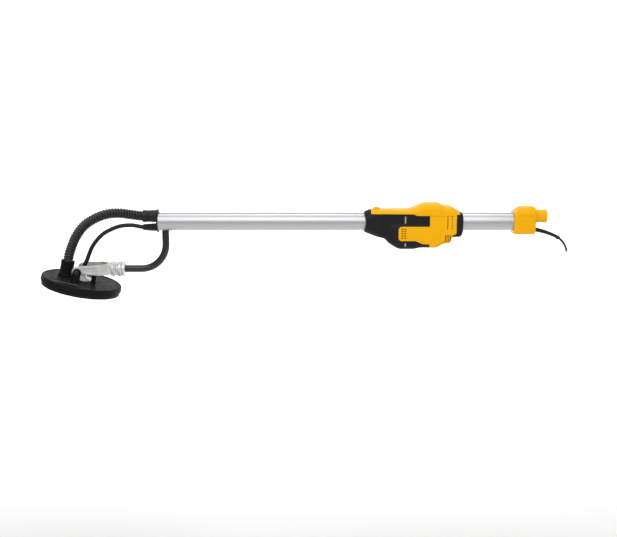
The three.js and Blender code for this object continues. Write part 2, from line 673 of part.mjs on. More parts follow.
function endSolid(depth) {
  const { front, rear, halfWidth, top, bottom, corner } = endPiece;
  const side = [
    [front, bottom + 4], [front + 4, bottom], [rear - 3, bottom], [rear, bottom + 3], [rear, top - 3],
    [rear - 3, top], [front + 22, top], [front, top - 17],
  ];
  const cross = roundedRectangle(halfWidth - depth, bottom + depth, top - depth, corner);
  return common(sideExtrude(shapeOf(inset(side, depth)), -60, 60), crossExtrude(shapeOf(cross), 250, 450));
}

function buildEndPiece() {
  const tubeBore = latheX(rodProfile(pole.radius + gap, 280, endPiece.front + 20), 24);
  const spigotHole = latheX(rodProfile(spigot.radius + gap, 350, 380), 20, 0, spigot.height);
  const reliefHole = latheX(rodProfile(relief.radius + 2, 350, 380), 14, 0, relief.height);
  const walls = cut(endSolid(0), endSolid(skin), tubeBore, spigotHole, reliefHole);
  add('end_shell_near', common(walls, box(250, 450, -60, -gap / 2, -80, 80)), yellowPlastic);
  add('end_shell_far', common(walls, box(250, 450, gap / 2, 60, -80, 80)), yellowPlastic);

  const wallInside = endPiece.rear - skin - gap;
  const { radius, bore, end, height } = spigot;
  const profile = [
    [bore, wallInside - 4], [radius + 3, wallInside - 4], [radius + 3, wallInside], [radius, wallInside],
    [radius - 0.6, end - 12], [radius + 0.4, end - 5], [radius, end], [bore, end], [bore, wallInside - 4],
  ];
  add('hose_spigot', latheX(profile, 20, 0, height), yellowPlastic);

  const sleeve = sweep(smooth(reliefRoute), 8, relief.radius, 10);
  const flange = latheX(rodProfile(relief.radius + 2.4, wallInside - 4, wallInside), 14, 0, relief.height);
  const neckProfile = rodProfile(relief.radius + 1.4, wallInside - 4, endPiece.rear + 5);
  const neck = latheX(neckProfile, 14, 0, relief.height);
  add('strain_relief', join(sleeve, flange, neck), blackRubber);
}

// ---------------------------------------------------------------- mains cord

function buildCord() {
  add('cord_lead', sweep(smooth(cordRoute), 26, cord.radius, 8), blackRubber);

  // The hank lies beside the rear tube and leans along its own tilt.
  const group = new THREE.Group();
  group.position.set(0, hank.near, hank.height);
  group.rotation.x = -hank.tilt;
  tool.add(group);
  const { left, right, halfHeight, depth } = hank;
  const outline = stadium(left + halfHeight, right - halfHeight, 0, halfHeight, 8);
  add('cord_hank', sideExtrude(shapeOf(outline), 0, depth), blackRubber, group);

  const tieWidth = 16;
  const tieX = 225;
  const band = 1.6;
  const ring = (grow, corner) => {
    const height = halfHeight + grow;
    return roundedRectangle(depth / 2 + grow, -height, height, corner, 2).map(([y, z]) => [y + depth / 2, z]);
  };
  const outer = crossExtrude(shapeOf(ring(gap + band, 2)), tieX - tieWidth / 2, tieX + tieWidth / 2);
  const inner = crossExtrude(shapeOf(ring(gap, 0.4)), tieX - tieWidth, tieX + tieWidth);
  const strap = cut(outer, inner);
  const saddle = box(tieX - tieWidth / 2, tieX + tieWidth / 2, -25, -gap - 0.5, -8, 14);
  const placedTube = latheX(rodProfile(pole.radius + gap, tieX - 40, tieX + 40), 24)
    .translate(0, -hank.near, -hank.height).rotateX(hank.tilt);
  add('cord_tie', cut(join(strap, saddle), placedTube), blackRubber, group);

  const plugY = depth - 8;
  const body = [
    [0, right + gap], [5, right + gap], [7, right + 8], [12, right + 14], [12.5, right + 34],
    [10.5, right + 36], [0, right + 36],
  ];
  add('plug_body', latheX(body, 16, plugY, 0), blackRubber, group);
  const bladeBase = right + 36 + gap;
  const blade = (z) => box(bladeBase, bladeBase + 17, plugY - 3.2, plugY + 3.2, z - 0.8, z + 0.8);
  add('plug_blade_1', blade(-6.35), brass, group);
  add('plug_blade_2', blade(6.35), brass, group);
}

buildPole();
buildFrontCap();
buildDustPipes();
buildSupportTube();
buildHoseAndSheath();
buildYoke();
buildHead();
buildHousing();
buildControls();
buildGears();
buildMotor();
buildEndPiece();
buildCord();

export default tool;
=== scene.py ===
from math import copysign, cos, exp, pi, radians, sin, sqrt, tanh

import bmesh
import bpy
import numpy as np
from mathutils import Matrix, Vector


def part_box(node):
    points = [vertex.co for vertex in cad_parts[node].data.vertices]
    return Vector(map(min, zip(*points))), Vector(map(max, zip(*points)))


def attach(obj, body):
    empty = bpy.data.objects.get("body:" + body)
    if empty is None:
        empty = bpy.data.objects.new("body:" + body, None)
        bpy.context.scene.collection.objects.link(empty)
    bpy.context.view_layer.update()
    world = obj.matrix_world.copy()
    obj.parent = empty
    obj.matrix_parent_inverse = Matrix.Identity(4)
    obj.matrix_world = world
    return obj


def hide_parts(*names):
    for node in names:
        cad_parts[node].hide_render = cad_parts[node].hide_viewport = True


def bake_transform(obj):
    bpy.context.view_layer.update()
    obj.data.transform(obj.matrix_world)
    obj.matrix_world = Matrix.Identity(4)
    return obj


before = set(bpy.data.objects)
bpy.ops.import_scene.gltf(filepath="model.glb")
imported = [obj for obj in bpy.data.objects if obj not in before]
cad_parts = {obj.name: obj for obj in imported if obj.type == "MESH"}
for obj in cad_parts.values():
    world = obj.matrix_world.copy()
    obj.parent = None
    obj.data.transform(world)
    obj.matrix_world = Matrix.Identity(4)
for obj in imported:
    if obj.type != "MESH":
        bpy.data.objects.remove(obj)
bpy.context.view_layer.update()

# ---------------------------------------------------------------- driving dimensions

GAP = 0.0003  # clearance between neighbouring pieces
SKIN = 0.0028  # wall of the moulded shells
PIVOT = Vector((-1.024, 0, -0.150))
HEAD_PITCH = radians(12.5)
HEAD = Matrix.Translation(PIVOT) @ Matrix.Rotation(HEAD_PITCH, 4, "Y")
HEAD_AXIS = 0.010  # the pad's axis in the head's own frame
PORT_X = -0.042  # the dust port's axis in the head's own frame
SHROUD_TOP = -0.028  # in the head's own frame, like the height where the skirt's bristles start
SKIRT_RADIUS, SKIRT_INNER, SKIRT_JOINT = 0.119, 0.115, -0.051
HANK = Matrix.Translation((0, 0.045, -0.006)) @ Matrix.Rotation(radians(-7.5), 4, "X")
CORD_RADIUS = 0.0035
DUST_HEIGHT = 0.0172  # the dust hose's axis, above the pole's
CABLE_HEIGHT = -0.017  # the drive cable's axis, below the pole's
SIDES = (("near", -1), ("far", 1))

AXIS_X = Vector((1, 0, 0))
AXIS_Y = Vector((0, 1, 0))
AXIS_Z = Vector((0, 0, 1))

tube_low, tube_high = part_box("front_tube")
POLE_RADIUS = (tube_high.z - tube_low.z) / 2
POLE_FRONT = tube_low.x
POLE_FRONT_END = tube_high.x
POLE_REAR_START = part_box("rear_tube")[0].x
POLE_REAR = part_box("rear_tube")[1].x
SUPPORT_HEIGHT = -0.1457
SUPPORT_END = -0.9443

# The routes of the hose, the cable's sheath, the strain relief and the mains cord.
HOSE_ROUTE = [
    (-0.818, 0, 0.0172), (-0.830, 0, 0.0173), (-0.863, 0, 0.0216), (-0.897, 0, 0.0256), (-0.928, 0, 0.024),
    (-0.959, 0, 0.0155), (-0.984, 0, 0.003), (-1.0045, 0, -0.011), (-1.021, 0, -0.029), (-1.0355, 0, -0.051),
    (-1.048, 0, -0.0785), (-1.0565, 0, -0.1029), (-1.0602, 0, -0.1195), (-1.0624, 0, -0.1293),
]
SHEATH_ROUTE = [
    (-0.818, 0, -0.017), (-0.828, 0, -0.0166), (-0.861, 0, -0.0112), (-0.895, 0, -0.0137),
    (-0.924, 0, -0.0238), (-0.9496, 0, -0.038), (-0.9685, 0, -0.0562), (-0.985, 0, -0.0785),
    (-0.9965, 0, -0.104), (-1.0035, 0, -0.121), (-1.0099, 0, -0.1326), (-1.0129, 0, -0.1463),
    (-1.0153, 0, -0.157),
]
RELIEF_ROUTE = [
    (0.361, 0, -0.024), (0.372, 0, -0.0246), (0.3944, 0, -0.0298), (0.4158, 0, -0.0369), (0.4322, 0, -0.044),
    (0.4445, 0, -0.0508),
]
CORD_ROUTE = [
    (0.451, 0, -0.0568), (0.4575, 0, -0.064), (0.4635, 0.0015, -0.0725), (0.470, 0.009, -0.084),
    (0.475, 0.022, -0.093), (0.4805, 0.038, -0.0945), (0.4815, 0.051, -0.088), (0.477, 0.057, -0.0775),
    (0.4685, 0.0585, -0.0665), (0.455, 0.059, -0.0545), (0.437, 0.059, -0.0465), (0.414, 0.058, -0.0395),
    (0.390, 0.056, -0.0345), (0.362, 0.053, -0.031), (0.335, 0.0505, -0.0292), (0.313, 0.049, -0.0283),
]


# ---------------------------------------------------------------- curves and outlines

def smooth_step(low, high, value):
    t = min(1.0, max(0.0, (value - low) / (high - low)))
    return t * t * (3 - 2 * t)


def catmull(points, step=0.002):
    """A centripetal Catmull-Rom curve through points, sampled about every step."""
    knots = [Vector(p) for p in points]
    padded = [knots[0] * 2 - knots[1], *knots, knots[-1] * 2 - knots[-2]]
    path = []
    for i in range(len(knots) - 1):
        p = padded[i:i + 4]
        times = [0.0]
        for a, b in zip(p, p[1:]):
            times.append(times[-1] + max(1e-6, sqrt((b - a).length)))
        count = max(1, round((p[2] - p[1]).length / step))
        for k in range(count):
            t = times[1] + (times[2] - times[1]) * k / count
            first, second, third = (
                p[j].lerp(p[j + 1], (t - times[j]) / (times[j + 1] - times[j])) for j in range(3)
            )
            early = first.lerp(second, (t - times[0]) / (times[2] - times[0]))
            late = second.lerp(third, (t - times[1]) / (times[3] - times[1]))
            path.append(early.lerp(late, (t - times[1]) / (times[2] - times[1])))
    path.append(knots[-1])
    return path


def even(path, step):
    """The same path with its points evenly spaced, about a step apart."""
    points = np.array(path, float)
    lengths = np.concatenate([[0], np.cumsum(np.linalg.norm(np.diff(points, axis=0), axis=1))])
    count = max(2, int(round(lengths[-1] / step)) + 1)
    marks = np.linspace(0, lengths[-1], count)
    columns = [np.interp(marks, lengths, points[:, k]) for k in range(3)]
    return [Vector(row) for row in np.column_stack(columns)]


def fillet(points, radius, closed=True, steps=5):
    """Rounds the corners of an outline of (a, b) points, starting radius away from each corner."""
    outline = []
    last = len(points) - 1
    for i, point in enumerate(points):
        corner = Vector(point)
        if not closed and i in (0, last):
            outline.append(corner)
            continue
        before = Vector(points[i - 1]) - corner
        after = Vector(points[(i + 1) % len(points)]) - corner
        reach = min(radius, 0.45 * before.length, 0.45 * after.length)
        start = corner + before.normalized() * reach
        end = corner + after.normalized() * reach
        for k in range(steps + 1):
            t = k / steps
            outline.append(start * (1 - t) ** 2 + corner * (2 * t * (1 - t)) + end * t * t)
    return outline


def inset(points, distance):
    """Moves each edge of a counter-clockwise outline inwards (outwards if negative)."""
    moved = []
    for i, point in enumerate(points):
        here = Vector(point)
        first = (here - Vector(points[i - 1])).normalized()
        second = (Vector(points[(i + 1) % len(points)]) - here).normalized()
        reach = distance / (1 + first.dot(second))
        moved.append((here.x - (first.y + second.y) * reach, here.y + (first.x + second.x) * reach))
    return moved


def rectangle(a_low, a_high, b_low, b_high):
    return [(a_low, b_low), (a_high, b_low), (a_high, b_high), (a_low, b_high)]


def rounded(a_low, a_high, b_low, b_high, radius, steps=5):
    return fillet(rectangle(a_low, a_high, b_low, b_high), radius, steps=steps)


def around(count):
    """The angles of evenly spaced points round a circle."""
    return [2 * pi * k / count for k in range(count)]


def span(side, near, far):
    """The stretch of y between two distances on the near (-1) or far (1) side, lower end first."""
    return sorted((side * near, side * far))


def round_rectangle(half, low, high, radius, corner_steps=8, side_steps=20, end_steps=10):
    """A (y, z) section whose sides and corners have fixed numbers of points, so that sections join."""
    radius = min(radius, half * 0.98, (high - low) * 0.49)
    centres = [
        (half - radius, high - radius), (-half + radius, high - radius),
        (-half + radius, low + radius), (half - radius, low + radius),
    ]

    def rim(corner, quarters):
        angle = pi / 2 * quarters
        y, z = centres[corner]
        return Vector((y + radius * cos(angle), z + radius * sin(angle)))

    points = []
    for corner in range(4):
        arc = [rim(corner, corner + k / corner_steps) for k in range(corner_steps + 1)]
        following = (corner + 1) % 4
        between = end_steps if corner % 2 == 0 else side_steps
        points += arc + [arc[-1].lerp(rim(following, following), k / between) for k in range(1, between)]
    return points


# ---------------------------------------------------------------- meshes

def show(name, data):
    """A new object in the scene with the given mesh, curve, camera or light."""
    item = bpy.data.objects.new(name, data)
    bpy.context.scene.collection.objects.link(item)
    return item


def clean(piece):
    mesh = bmesh.new()
    mesh.from_mesh(piece.data)
    bmesh.ops.remove_doubles(mesh, verts=mesh.verts, dist=2e-6)
    bmesh.ops.dissolve_degenerate(mesh, edges=mesh.edges, dist=1e-6)
    bmesh.ops.recalc_face_normals(mesh, faces=mesh.faces)
    mesh.to_mesh(piece.data)
    mesh.free()
    return piece


def from_rings(name, rings, closed=False):
    """Joins rings of points with quads. Open rows of rings are capped, and closed ones meet themselves."""
    count = len(rings[0])
    faces = []
    for i in range(len(rings) if closed else len(rings) - 1):
        here = i * count
        there = ((i + 1) % len(rings)) * count
        for j in range(count):
            k = (j + 1) % count
            faces.append((here + j, here + k, there + k, there + j))
    if not closed:
        end = (len(rings) - 1) * count
        faces.append(tuple(range(count - 1, -1, -1)))
        faces.append(tuple(range(end, end + count)))
    mesh = bpy.data.meshes.new(name)
    mesh.from_pydata([tuple(p) for ring in rings for p in ring], [], faces)
    return clean(show(name, mesh))


def lathe(name, profile, origin, axis, segments=96):
    """Turns (radius, distance along the axis) points. A profile that starts off the axis leaves a bore."""
    axis = Vector(axis).normalized()
    side = axis.orthogonal().normalized()
    other = axis.cross(side)
    rings = []
    for radius, along in profile:
        centre = Vector(origin) + axis * along
        reach = max(radius, 1e-7)
        ring = []
        for angle in around(segments):
            ring.append(centre + side * (reach * cos(angle)) + other * (reach * sin(angle)))
        rings.append(ring)
    return from_rings(name, rings, closed=profile[0][0] > 1e-6)


def ring_profile(outer, inner, low, high, edge=0.0006):
    return fillet([(inner, low), (outer, low), (outer, high), (inner, high)], edge, steps=3)


def rod_profile(radius, low, high, edge=0.0006):
    return fillet([(0, low), (radius, low), (radius, high), (0, high)], edge, closed=False, steps=3)


def rod(radius, low, high, origin=(0, 0, 0), axis=AXIS_X, segments=48, edge=0.0006):
    """A plain cylinder to cut with or to join on."""
    return lathe("rod", rod_profile(radius, low, high, edge), origin, axis, segments)


def prism(name, outline, low, high, axis="y"):
    """An outline of (x, z), (y, z) or (x, y) points, extruded along y, x or z."""
    def point(a, b, level):
        return {"x": (level, a, b), "y": (a, level, b), "z": (a, b, level)}[axis]

    return from_rings(name, [[point(a, b, level) for a, b in outline] for level in (low, high)])


def block(name, low, high):
    return prism(name, rectangle(low[0], high[0], low[1], high[1]), low[2], high[2], "z")


def sweep(name, path, radius_at, sides=32, bore_at=None):
    """A tube along a path in the plane y = 0. radius_at and bore_at take (distance, angle)."""
    turns = around(sides)
    distance = 0.0
    outer = []
    inner = []
    for i, point in enumerate(path):
        before = path[max(0, i - 1)]
        after = path[min(len(path) - 1, i + 1)]
        if i:
            distance += (point - before).length
        tangent = (after - before).normalized()
        up = tangent.cross(AXIS_Y)
        for rings, radius in ((outer, radius_at), (inner, bore_at)):
            if radius:
                rings.append([
                    point + (AXIS_Y * cos(a) + up * sin(a)) * radius(distance, a) for a in turns
                ])
    if bore_at:
        return from_rings(name, outer + inner[::-1], closed=True)
    return from_rings(name, outer)


def apply_modifiers(piece):
    graph = bpy.context.evaluated_depsgraph_get()
    mesh = bpy.data.meshes.new_from_object(piece.evaluated_get(graph))
    piece.modifiers.clear()
    piece.data = mesh
    return piece


def discard(*pieces):
    for piece in pieces:
        bpy.data.objects.remove(piece)


def combine(piece, tools, operation):
    for tool in tools:
        modifier = piece.modifiers.new(operation, "BOOLEAN")
        modifier.operation = operation
        modifier.solver = "MANIFOLD"
        modifier.object = tool
        apply_modifiers(piece)
        discard(tool)
    return piece


def cut(piece, *tools):
    return combine(piece, tools, "DIFFERENCE")


def add(piece, *tools):
    return combine(piece, tools, "UNION")


def common(piece, *tools):
    return combine(piece, tools, "INTERSECT")


def duplicate(piece, name):
    return show(name, piece.data.copy())


def soften(piece, width, segments=3, angle=35):
    """Rounds the edges that are sharper than an angle."""
    mesh = bmesh.new()
    mesh.from_mesh(piece.data)
    bmesh.ops.dissolve_limit(mesh, angle_limit=radians(1), verts=mesh.verts, edges=mesh.edges)
    mesh.to_mesh(piece.data)
    mesh.free()
    modifier = piece.modifiers.new("edges", "BEVEL")
    modifier.width = width
    modifier.segments = segments
    modifier.limit_method = "ANGLE"
    modifier.angle_limit = radians(angle)
    return apply_modifiers(piece)


def move(piece, matrix):
    piece.data.transform(matrix)
    return piece


def dress(piece, material, sharp=32):
    piece.data.materials.clear()
    piece.data.materials.append(material)
    if piece.type == "MESH":
        piece.data.shade_smooth()
        piece.data.set_sharp_from_angle(angle=radians(sharp))
    return piece


def place(piece, material, slot, body, *nodes, sharp=32):
    """Gives a finished piece its material and the body that it rides on, and hides the CAD nodes that it
    stands for.
    """
    dress(piece, material, sharp)
    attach(piece, body)
    if nodes:
        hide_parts(*nodes)
    return piece


# ---------------------------------------------------------------- camera

def make_camera():
    data = bpy.data.cameras.new("camera")
    data.sensor_width = 36
    data.lens = 53.06
    camera = show("camera", data)
    camera.location = (-0.3218, -2.7531, 0.3648)
    camera.rotation_euler = (radians(90 - 10.5), 0, 0)
    bpy.context.scene.camera = camera


# ---------------------------------------------------------------- materials

def mix_colour(colour, factor):
    return tuple(min(1.0, c * factor) for c in colour) + (1,)


def surface(name, colour, roughness, mottle=(14, 0.06), grain=(2600, 0.00005), metallic=0.0, wear_and_sheen=0.0,
            specular=0.5, streak=(1, 1, 1), spread=0.08, dust=0.0, coat=0.0):
    """A base colour with soft mottling, a fine bumpy grain, uneven roughness, pale edges (worn, and a painted
    highlight on the hose's ribs) and settled dust.
    """
    material = bpy.data.materials.new(name)
    material.use_nodes = True
    nodes = material.node_tree.nodes

    def wire(node, inputs):
        """Links or sets each input, whichever its value calls for."""
        for socket, value in inputs.items():
            if isinstance(value, bpy.types.NodeSocket):
                material.node_tree.links.new(value, node.inputs[socket])
            else:
                node.inputs[socket].default_value = value
        return node

    plain = nodes.new("ShaderNodeTexCoord").outputs["Object"]
    stretched = wire(nodes.new("ShaderNodeMapping"), {"Vector": plain, "Scale": streak}).outputs["Vector"]

    def noise(scale, detail=4.0, source=stretched):
        node = wire(nodes.new("ShaderNodeTexNoise"), {"Vector": source, "Scale": scale, "Detail": detail})
        return node.outputs["Fac"]

    def spread_to(value, low, high, source_low=0.3, source_high=0.7):
        ends = {"From Min": source_low, "From Max": source_high, "To Min": low, "To Max": high}
        return wire(nodes.new("ShaderNodeMapRange"), {"Value": value, **ends}).outputs["Result"]

    def blend(factor, first, second):
        node = nodes.new("ShaderNodeMix")
        node.data_type = "RGBA"
        return wire(node, {"Factor": factor, 6: first, 7: second}).outputs[2]

    scale, amount = mottle
    patches = spread_to(noise(scale), 0, 1)
    colour_out = blend(patches, mix_colour(colour, 1 - amount), mix_colour(colour, 1 + amount))
    speck = spread_to(noise(900, 2.0), 0, amount * 2, 0.5, 0.8)
    colour_out = blend(speck, colour_out, mix_colour(colour, 0.55))
    # Pale convex edges: wear on most materials, and a painted highlight on the hose's ribs.
    if wear_and_sheen:
        pointiness = nodes.new("ShaderNodeNewGeometry").outputs["Pointiness"]
        worn_and_sheen_colour = tuple(min(1, c * 1.3 + 0.08) for c in colour) + (1,)
        colour_out = blend(spread_to(pointiness, 0, wear_and_sheen, 0.53, 0.62), colour_out, worn_and_sheen_colour)
    if dust:
        normal = nodes.new("ShaderNodeNewGeometry").outputs["Normal"]
        upward = wire(nodes.new("ShaderNodeSeparateXYZ"), {"Vector": normal}).outputs["Z"]
        settled = nodes.new("ShaderNodeMath")
        settled.operation = "MULTIPLY"
        patches = spread_to(noise(60, 6.0, plain), 0, dust, 0.45, 0.75)
        wire(settled, {0: spread_to(upward, 0, 1, 0.3, 1), 1: patches})
        colour_out = blend(settled.outputs[0], colour_out, (0.55, 0.54, 0.52, 1))

    grain_scale, grain_height = grain
    bump = wire(nodes.new("ShaderNodeBump"),
                {"Strength": 0.6, "Distance": grain_height, "Height": noise(grain_scale, 2.0)})
    wire(nodes["Principled BSDF"], {
        "Base Color": colour_out,
        "Roughness": spread_to(noise(scale * 4), roughness - spread, roughness + spread),
        "Metallic": metallic,
        "Specular IOR Level": specular,
        "Coat Weight": coat,
        "Coat Roughness": 0.12,
        "Normal": bump.outputs["Normal"],
    })
    return material


# Each takes a name, a colour, a roughness, the mottling's scale and strength, the grain's scale and height,
# and then how metallic it is and how pale its edges are: wear, and on the hose's ribs a painted highlight.
aluminium = surface("drawn aluminium", (0.555, 0.555, 0.565), 0.38, (6, 0.03), (1400, 0.00002), 0.95,
                    streak=(0.02, 1, 1), spread=0.05)
cast_metal = surface("cast aluminium", (0.74, 0.74, 0.73), 0.42, (40, 0.08), (1500, 0.00008), 0.8, 0.4)
steel = surface("zinc plated steel", (0.50, 0.51, 0.53), 0.3, (60, 0.08), (2200, 0.00003), 1.0, 0.3)
black_steel = surface("blackened steel", (0.05, 0.05, 0.052), 0.38, (60, 0.1), (2200, 0.00003), 0.8, 0.2)
bearing_steel = surface("bearing steel", (0.42, 0.43, 0.45), 0.22, (90, 0.05), (3000, 0.00002), 1.0)
brass = surface("stamped brass", (0.68, 0.50, 0.20), 0.28, (80, 0.06), (1800, 0.00002), 1.0, 0.2)
copper = surface("copper windings", (0.50, 0.22, 0.10), 0.35, (90, 0.15), (1800, 0.0002), 0.9,
                 streak=(0.2, 1, 1))
laminations = surface("steel laminations", (0.28, 0.28, 0.30), 0.45, (40, 0.1), (900, 0.0001), 0.9,
                      streak=(60, 0.1, 0.1))
black_paint = surface("black powder coat", (0.008, 0.008, 0.009), 0.2, (25, 0.1), (1500, 0.00003),
                      specular=0.2, coat=0.8)
black_plastic = surface("black plastic", (0.013, 0.0135, 0.015), 0.42, (18, 0.12), (2400, 0.00008),
                        wear_and_sheen=0.2, specular=0.22)
grip_plastic = surface("black grip plastic", (0.010, 0.0105, 0.012), 0.46, (18, 0.1), (1800, 0.00012),
                       wear_and_sheen=0.2, specular=0.2)
head_plastic = surface("black head plastic", (0.009, 0.009, 0.0095), 0.5, (14, 0.12), (2000, 0.0001),
                       wear_and_sheen=0.15, dust=0.02, specular=0.08)
# Its pale ribs are a painted highlight, not wear.
hose_plastic = surface("black hose plastic", (0.008, 0.008, 0.0085), 0.27, (30, 0.15), (1600, 0.00004),
                       wear_and_sheen=0.6, specular=0.7)
yellow_plastic = surface("yellow plastic", (1.0, 0.475, 0.001), 0.36, (12, 0.035), (2200, 0.00005),
                         spread=0.05, wear_and_sheen=0.2, specular=0.16)
label_plastic = surface("dark grey plastic", (0.085, 0.085, 0.088), 0.5, (30, 0.06), (2400, 0.00006))
grey_strip_plastic = surface("grey plastic", (0.36, 0.35, 0.33), 0.5, (30, 0.06), (2400, 0.00006))
rubber = surface("black rubber", (0.008, 0.008, 0.0085), 0.36, (30, 0.15), (1600, 0.00005), wear_and_sheen=0.2,
                 specular=0.35)
cord_rubber = surface("cord rubber", (0.008, 0.008, 0.009), 0.38, (30, 0.12), (2200, 0.00004), specular=0.3)
bumper_rubber = surface("bumper rubber", (0.012, 0.012, 0.0135), 0.5, (24, 0.1), (1500, 0.00012), wear_and_sheen=0.2,
                        specular=0.2)
foam_rubber = surface("pad foam", (0.055, 0.056, 0.06), 0.9, (60, 0.15), (900, 0.0004))
grit = surface("abrasive mesh", (0.30, 0.235, 0.17), 0.85, (500, 0.3), (1300, 0.0005))
nylon = surface("nylon bristles", (0.010, 0.010, 0.011), 0.55, (500, 0.3), (1500, 0.0003), specular=0.25,
                streak=(1, 1, 0.05))
web = surface("woven strap", (0.016, 0.016, 0.018), 0.8, (200, 0.2), (1100, 0.0004))


# ---------------------------------------------------------------- mains cord

def hank_points(turns=8.5, first_layer=0.0037, pitch=0.00705):
    """The turns of the hank from its lower right, each a diameter further back, and the tail to the plug."""
    right, left, radius = 0.293, 0.183, 0.0215

    def arc(centre, side):
        angles = [pi * k / 6 for k in range(6)]
        return [(centre + side * radius * sin(a), side * radius * cos(a)) for a in angles]

    loop = [(right - (right - left) * k / 3, -radius) for k in range(3)] + arc(left, -1)
    loop += [(left + (right - left) * k / 3, radius) for k in range(3)] + arc(right, 1)
    points = []
    for k in range(int(turns * len(loop)) + 1):
        x, z = loop[k % len(loop)]
        points.append((x, first_layer + pitch * k / len(loop), z))
    layer = points[-1][1]
    points += [(0.215, layer, 0.0205), (0.245, layer - 0.0004, 0.0155), (0.275, layer - 0.001, 0.0065),
               (0.298, 0.062, 0.0008), (0.312, 0.062, 0), (0.3225, 0.062, 0)]
    return [HANK @ Vector(p) for p in points]


def make_relief():
    """A sleeve that narrows to its end, ribbed in the middle, with a bead where the cord comes out."""
    step = 0.0005
    path = even(catmull(RELIEF_ROUTE), step)
    length = step * (len(path) - 1)

    def radius(distance, _):
        taper = 0.0074 - 0.0020 * distance / length
        rib = 0.0003 * (0.5 + 0.5 * tanh(3 * cos(2 * pi * distance / 0.0062)))
        fade = 1 - smooth_step(length - 0.012, length - 0.009, distance)
        ribbed = smooth_step(0.010, 0.014, distance) * fade
        bead = 0.0014 * exp(-((distance - length + 0.0035) / 0.0026) ** 2)
        lip = 0.001 * smooth_step(length - 0.0012, length, distance)
        return taper - 0.0007 + rib * ribbed + 0.0007 * (1 - ribbed) + bead - lip

    relief = sweep("strain_relief_sleeve", path, radius, 32)
    return place(relief, rubber, "black_rubber", "root", "strain_relief")


def make_plug():
    """A moulded two-blade plug with a waisted grip and finger ribs, in the hank's frame."""
    start, length, layer = 0.3183, 0.036, 0.062
    stations = [
        (0, 0.0052, 0.0052), (0.003, 0.0056, 0.0056), (0.008, 0.0072, 0.0072), (0.0125, 0.0105, 0.0085),
        (0.018, 0.0122, 0.0094), (0.026, 0.0125, 0.0096), (0.033, 0.0125, 0.0098),
        (0.0352, 0.0118, 0.0092), (length, 0.0108, 0.0084),
    ]
    rings = []
    power = 0.8
    marks = np.linspace(0, length, 60)
    known, heights, widths = zip(*stations)
    tall = np.interp(marks, known, heights)
    wide = np.interp(marks, known, widths)
    for mark, high, broad in zip(marks, tall, wide):
        groove = 0.0006 * max(0.0, cos(2 * pi * (mark - 0.018) / 0.0042)) * (0.016 < mark < 0.031)
        ring = []
        for a in around(48):
            y = copysign(abs(cos(a)) ** power, cos(a)) * (broad - groove)
            z = copysign(abs(sin(a)) ** power, sin(a)) * high
            ring.append((start + mark, layer + y, z))
        rings.append(ring)
    plug = move(from_rings("plug_grip", rings), HANK)
    place(plug, cord_rubber, "black_rubber", "root", "plug_body")
    blades = []
    for i, height in enumerate((-0.00635, 0.00635)):
        outline = rounded(0.3545, 0.3716, 0.0588, 0.0652, 0.0016, steps=4)
        blade = prism(f"plug_blade_{i + 1}_stamped", outline, height - 0.0008, height + 0.0008, "z")
        cut(blade, rod(0.0016, -0.002, 0.002, (0.3668, layer, height), AXIS_Z, 24, 0.0001))
        soften(blade, 0.00025, 2)
        move(blade, HANK)
        place(blade, brass, "brass", "root", f"plug_blade_{i + 1}")
        blades.append(blade)
    return [plug, *blades]


def make_tie():
    """A hook-and-loop strap round the hank, its overlapping end, and the saddle on the tube's far side."""
    middle, half = 0.225, 0.008
    depth = 0.070

    def band(grow, corner):
        section = round_rectangle(depth / 2 + grow, -0.025 - grow, 0.025 + grow, corner, 6, 8, 8)
        return [(y + depth / 2, z) for y, z in section]

    strap = prism("tie_strap", band(0.0018, 0.004), middle - half, middle + half, "x")
    cut(strap, prism("inside", band(0.0003, 0.0025), middle - 0.02, middle + 0.02, "x"))
    soften(strap, 0.0004, 2)
    overlap = rounded(middle - half + 0.0008, middle + half - 0.0008, 0.014, 0.058, 0.004)
    flap = prism("tie_flap", overlap, 0.0263, 0.0279, "z")
    soften(flap, 0.0004, 2)
    saddle = block("tie_saddle", (middle - half, -0.024, -0.008), (middle + half, -0.0008, 0.014))
    for piece in (strap, flap, saddle):
        move(piece, HANK)
    cut(saddle, rod(POLE_RADIUS + GAP, -0.04, 0.04, (middle, 0, 0), segments=96))
    soften(saddle, 0.0008, 2)
    place(flap, web, "black_rubber", "root")
    place(saddle, rubber, "black_rubber", "root")
    place(strap, web, "black_rubber", "root", "cord_tie")
    return [strap, flap, saddle]


def make_cord():
    route = RELIEF_ROUTE + CORD_ROUTE + [tuple(p) for p in hank_points()]
    path = catmull(route, 0.004)
    curve = bpy.data.curves.new("mains_cord", "CURVE")
    curve.dimensions = "3D"
    curve.bevel_depth = CORD_RADIUS
    curve.bevel_resolution = 4
    curve.use_fill_caps = True
    spline = curve.splines.new("POLY")
    spline.points.add(len(path) - 1)
    for point, here in zip(spline.points, path):
        point.co = (*here, 1)
    spline.use_smooth = True
    cord = show("mains_cord", curve)
    place(cord, cord_rubber, "black_rubber", "root", "cord_lead", "cord_hank")
    relief = make_relief()
    plug = make_plug()
    tie = make_tie()


# ---------------------------------------------------------------- pole

def make_tubes():
    ends = (("front_tube", POLE_FRONT, POLE_FRONT_END), ("rear_tube", POLE_REAR_START, POLE_REAR))
    for node, low, high in ends:
        profile = ring_profile(POLE_RADIUS, POLE_RADIUS - 0.002, low, high, 0.0007)
        tube = lathe(f"{node}_drawn", profile, (0, 0, 0), AXIS_X, 128)
        place(tube, aluminium, "aluminium", "root", node)


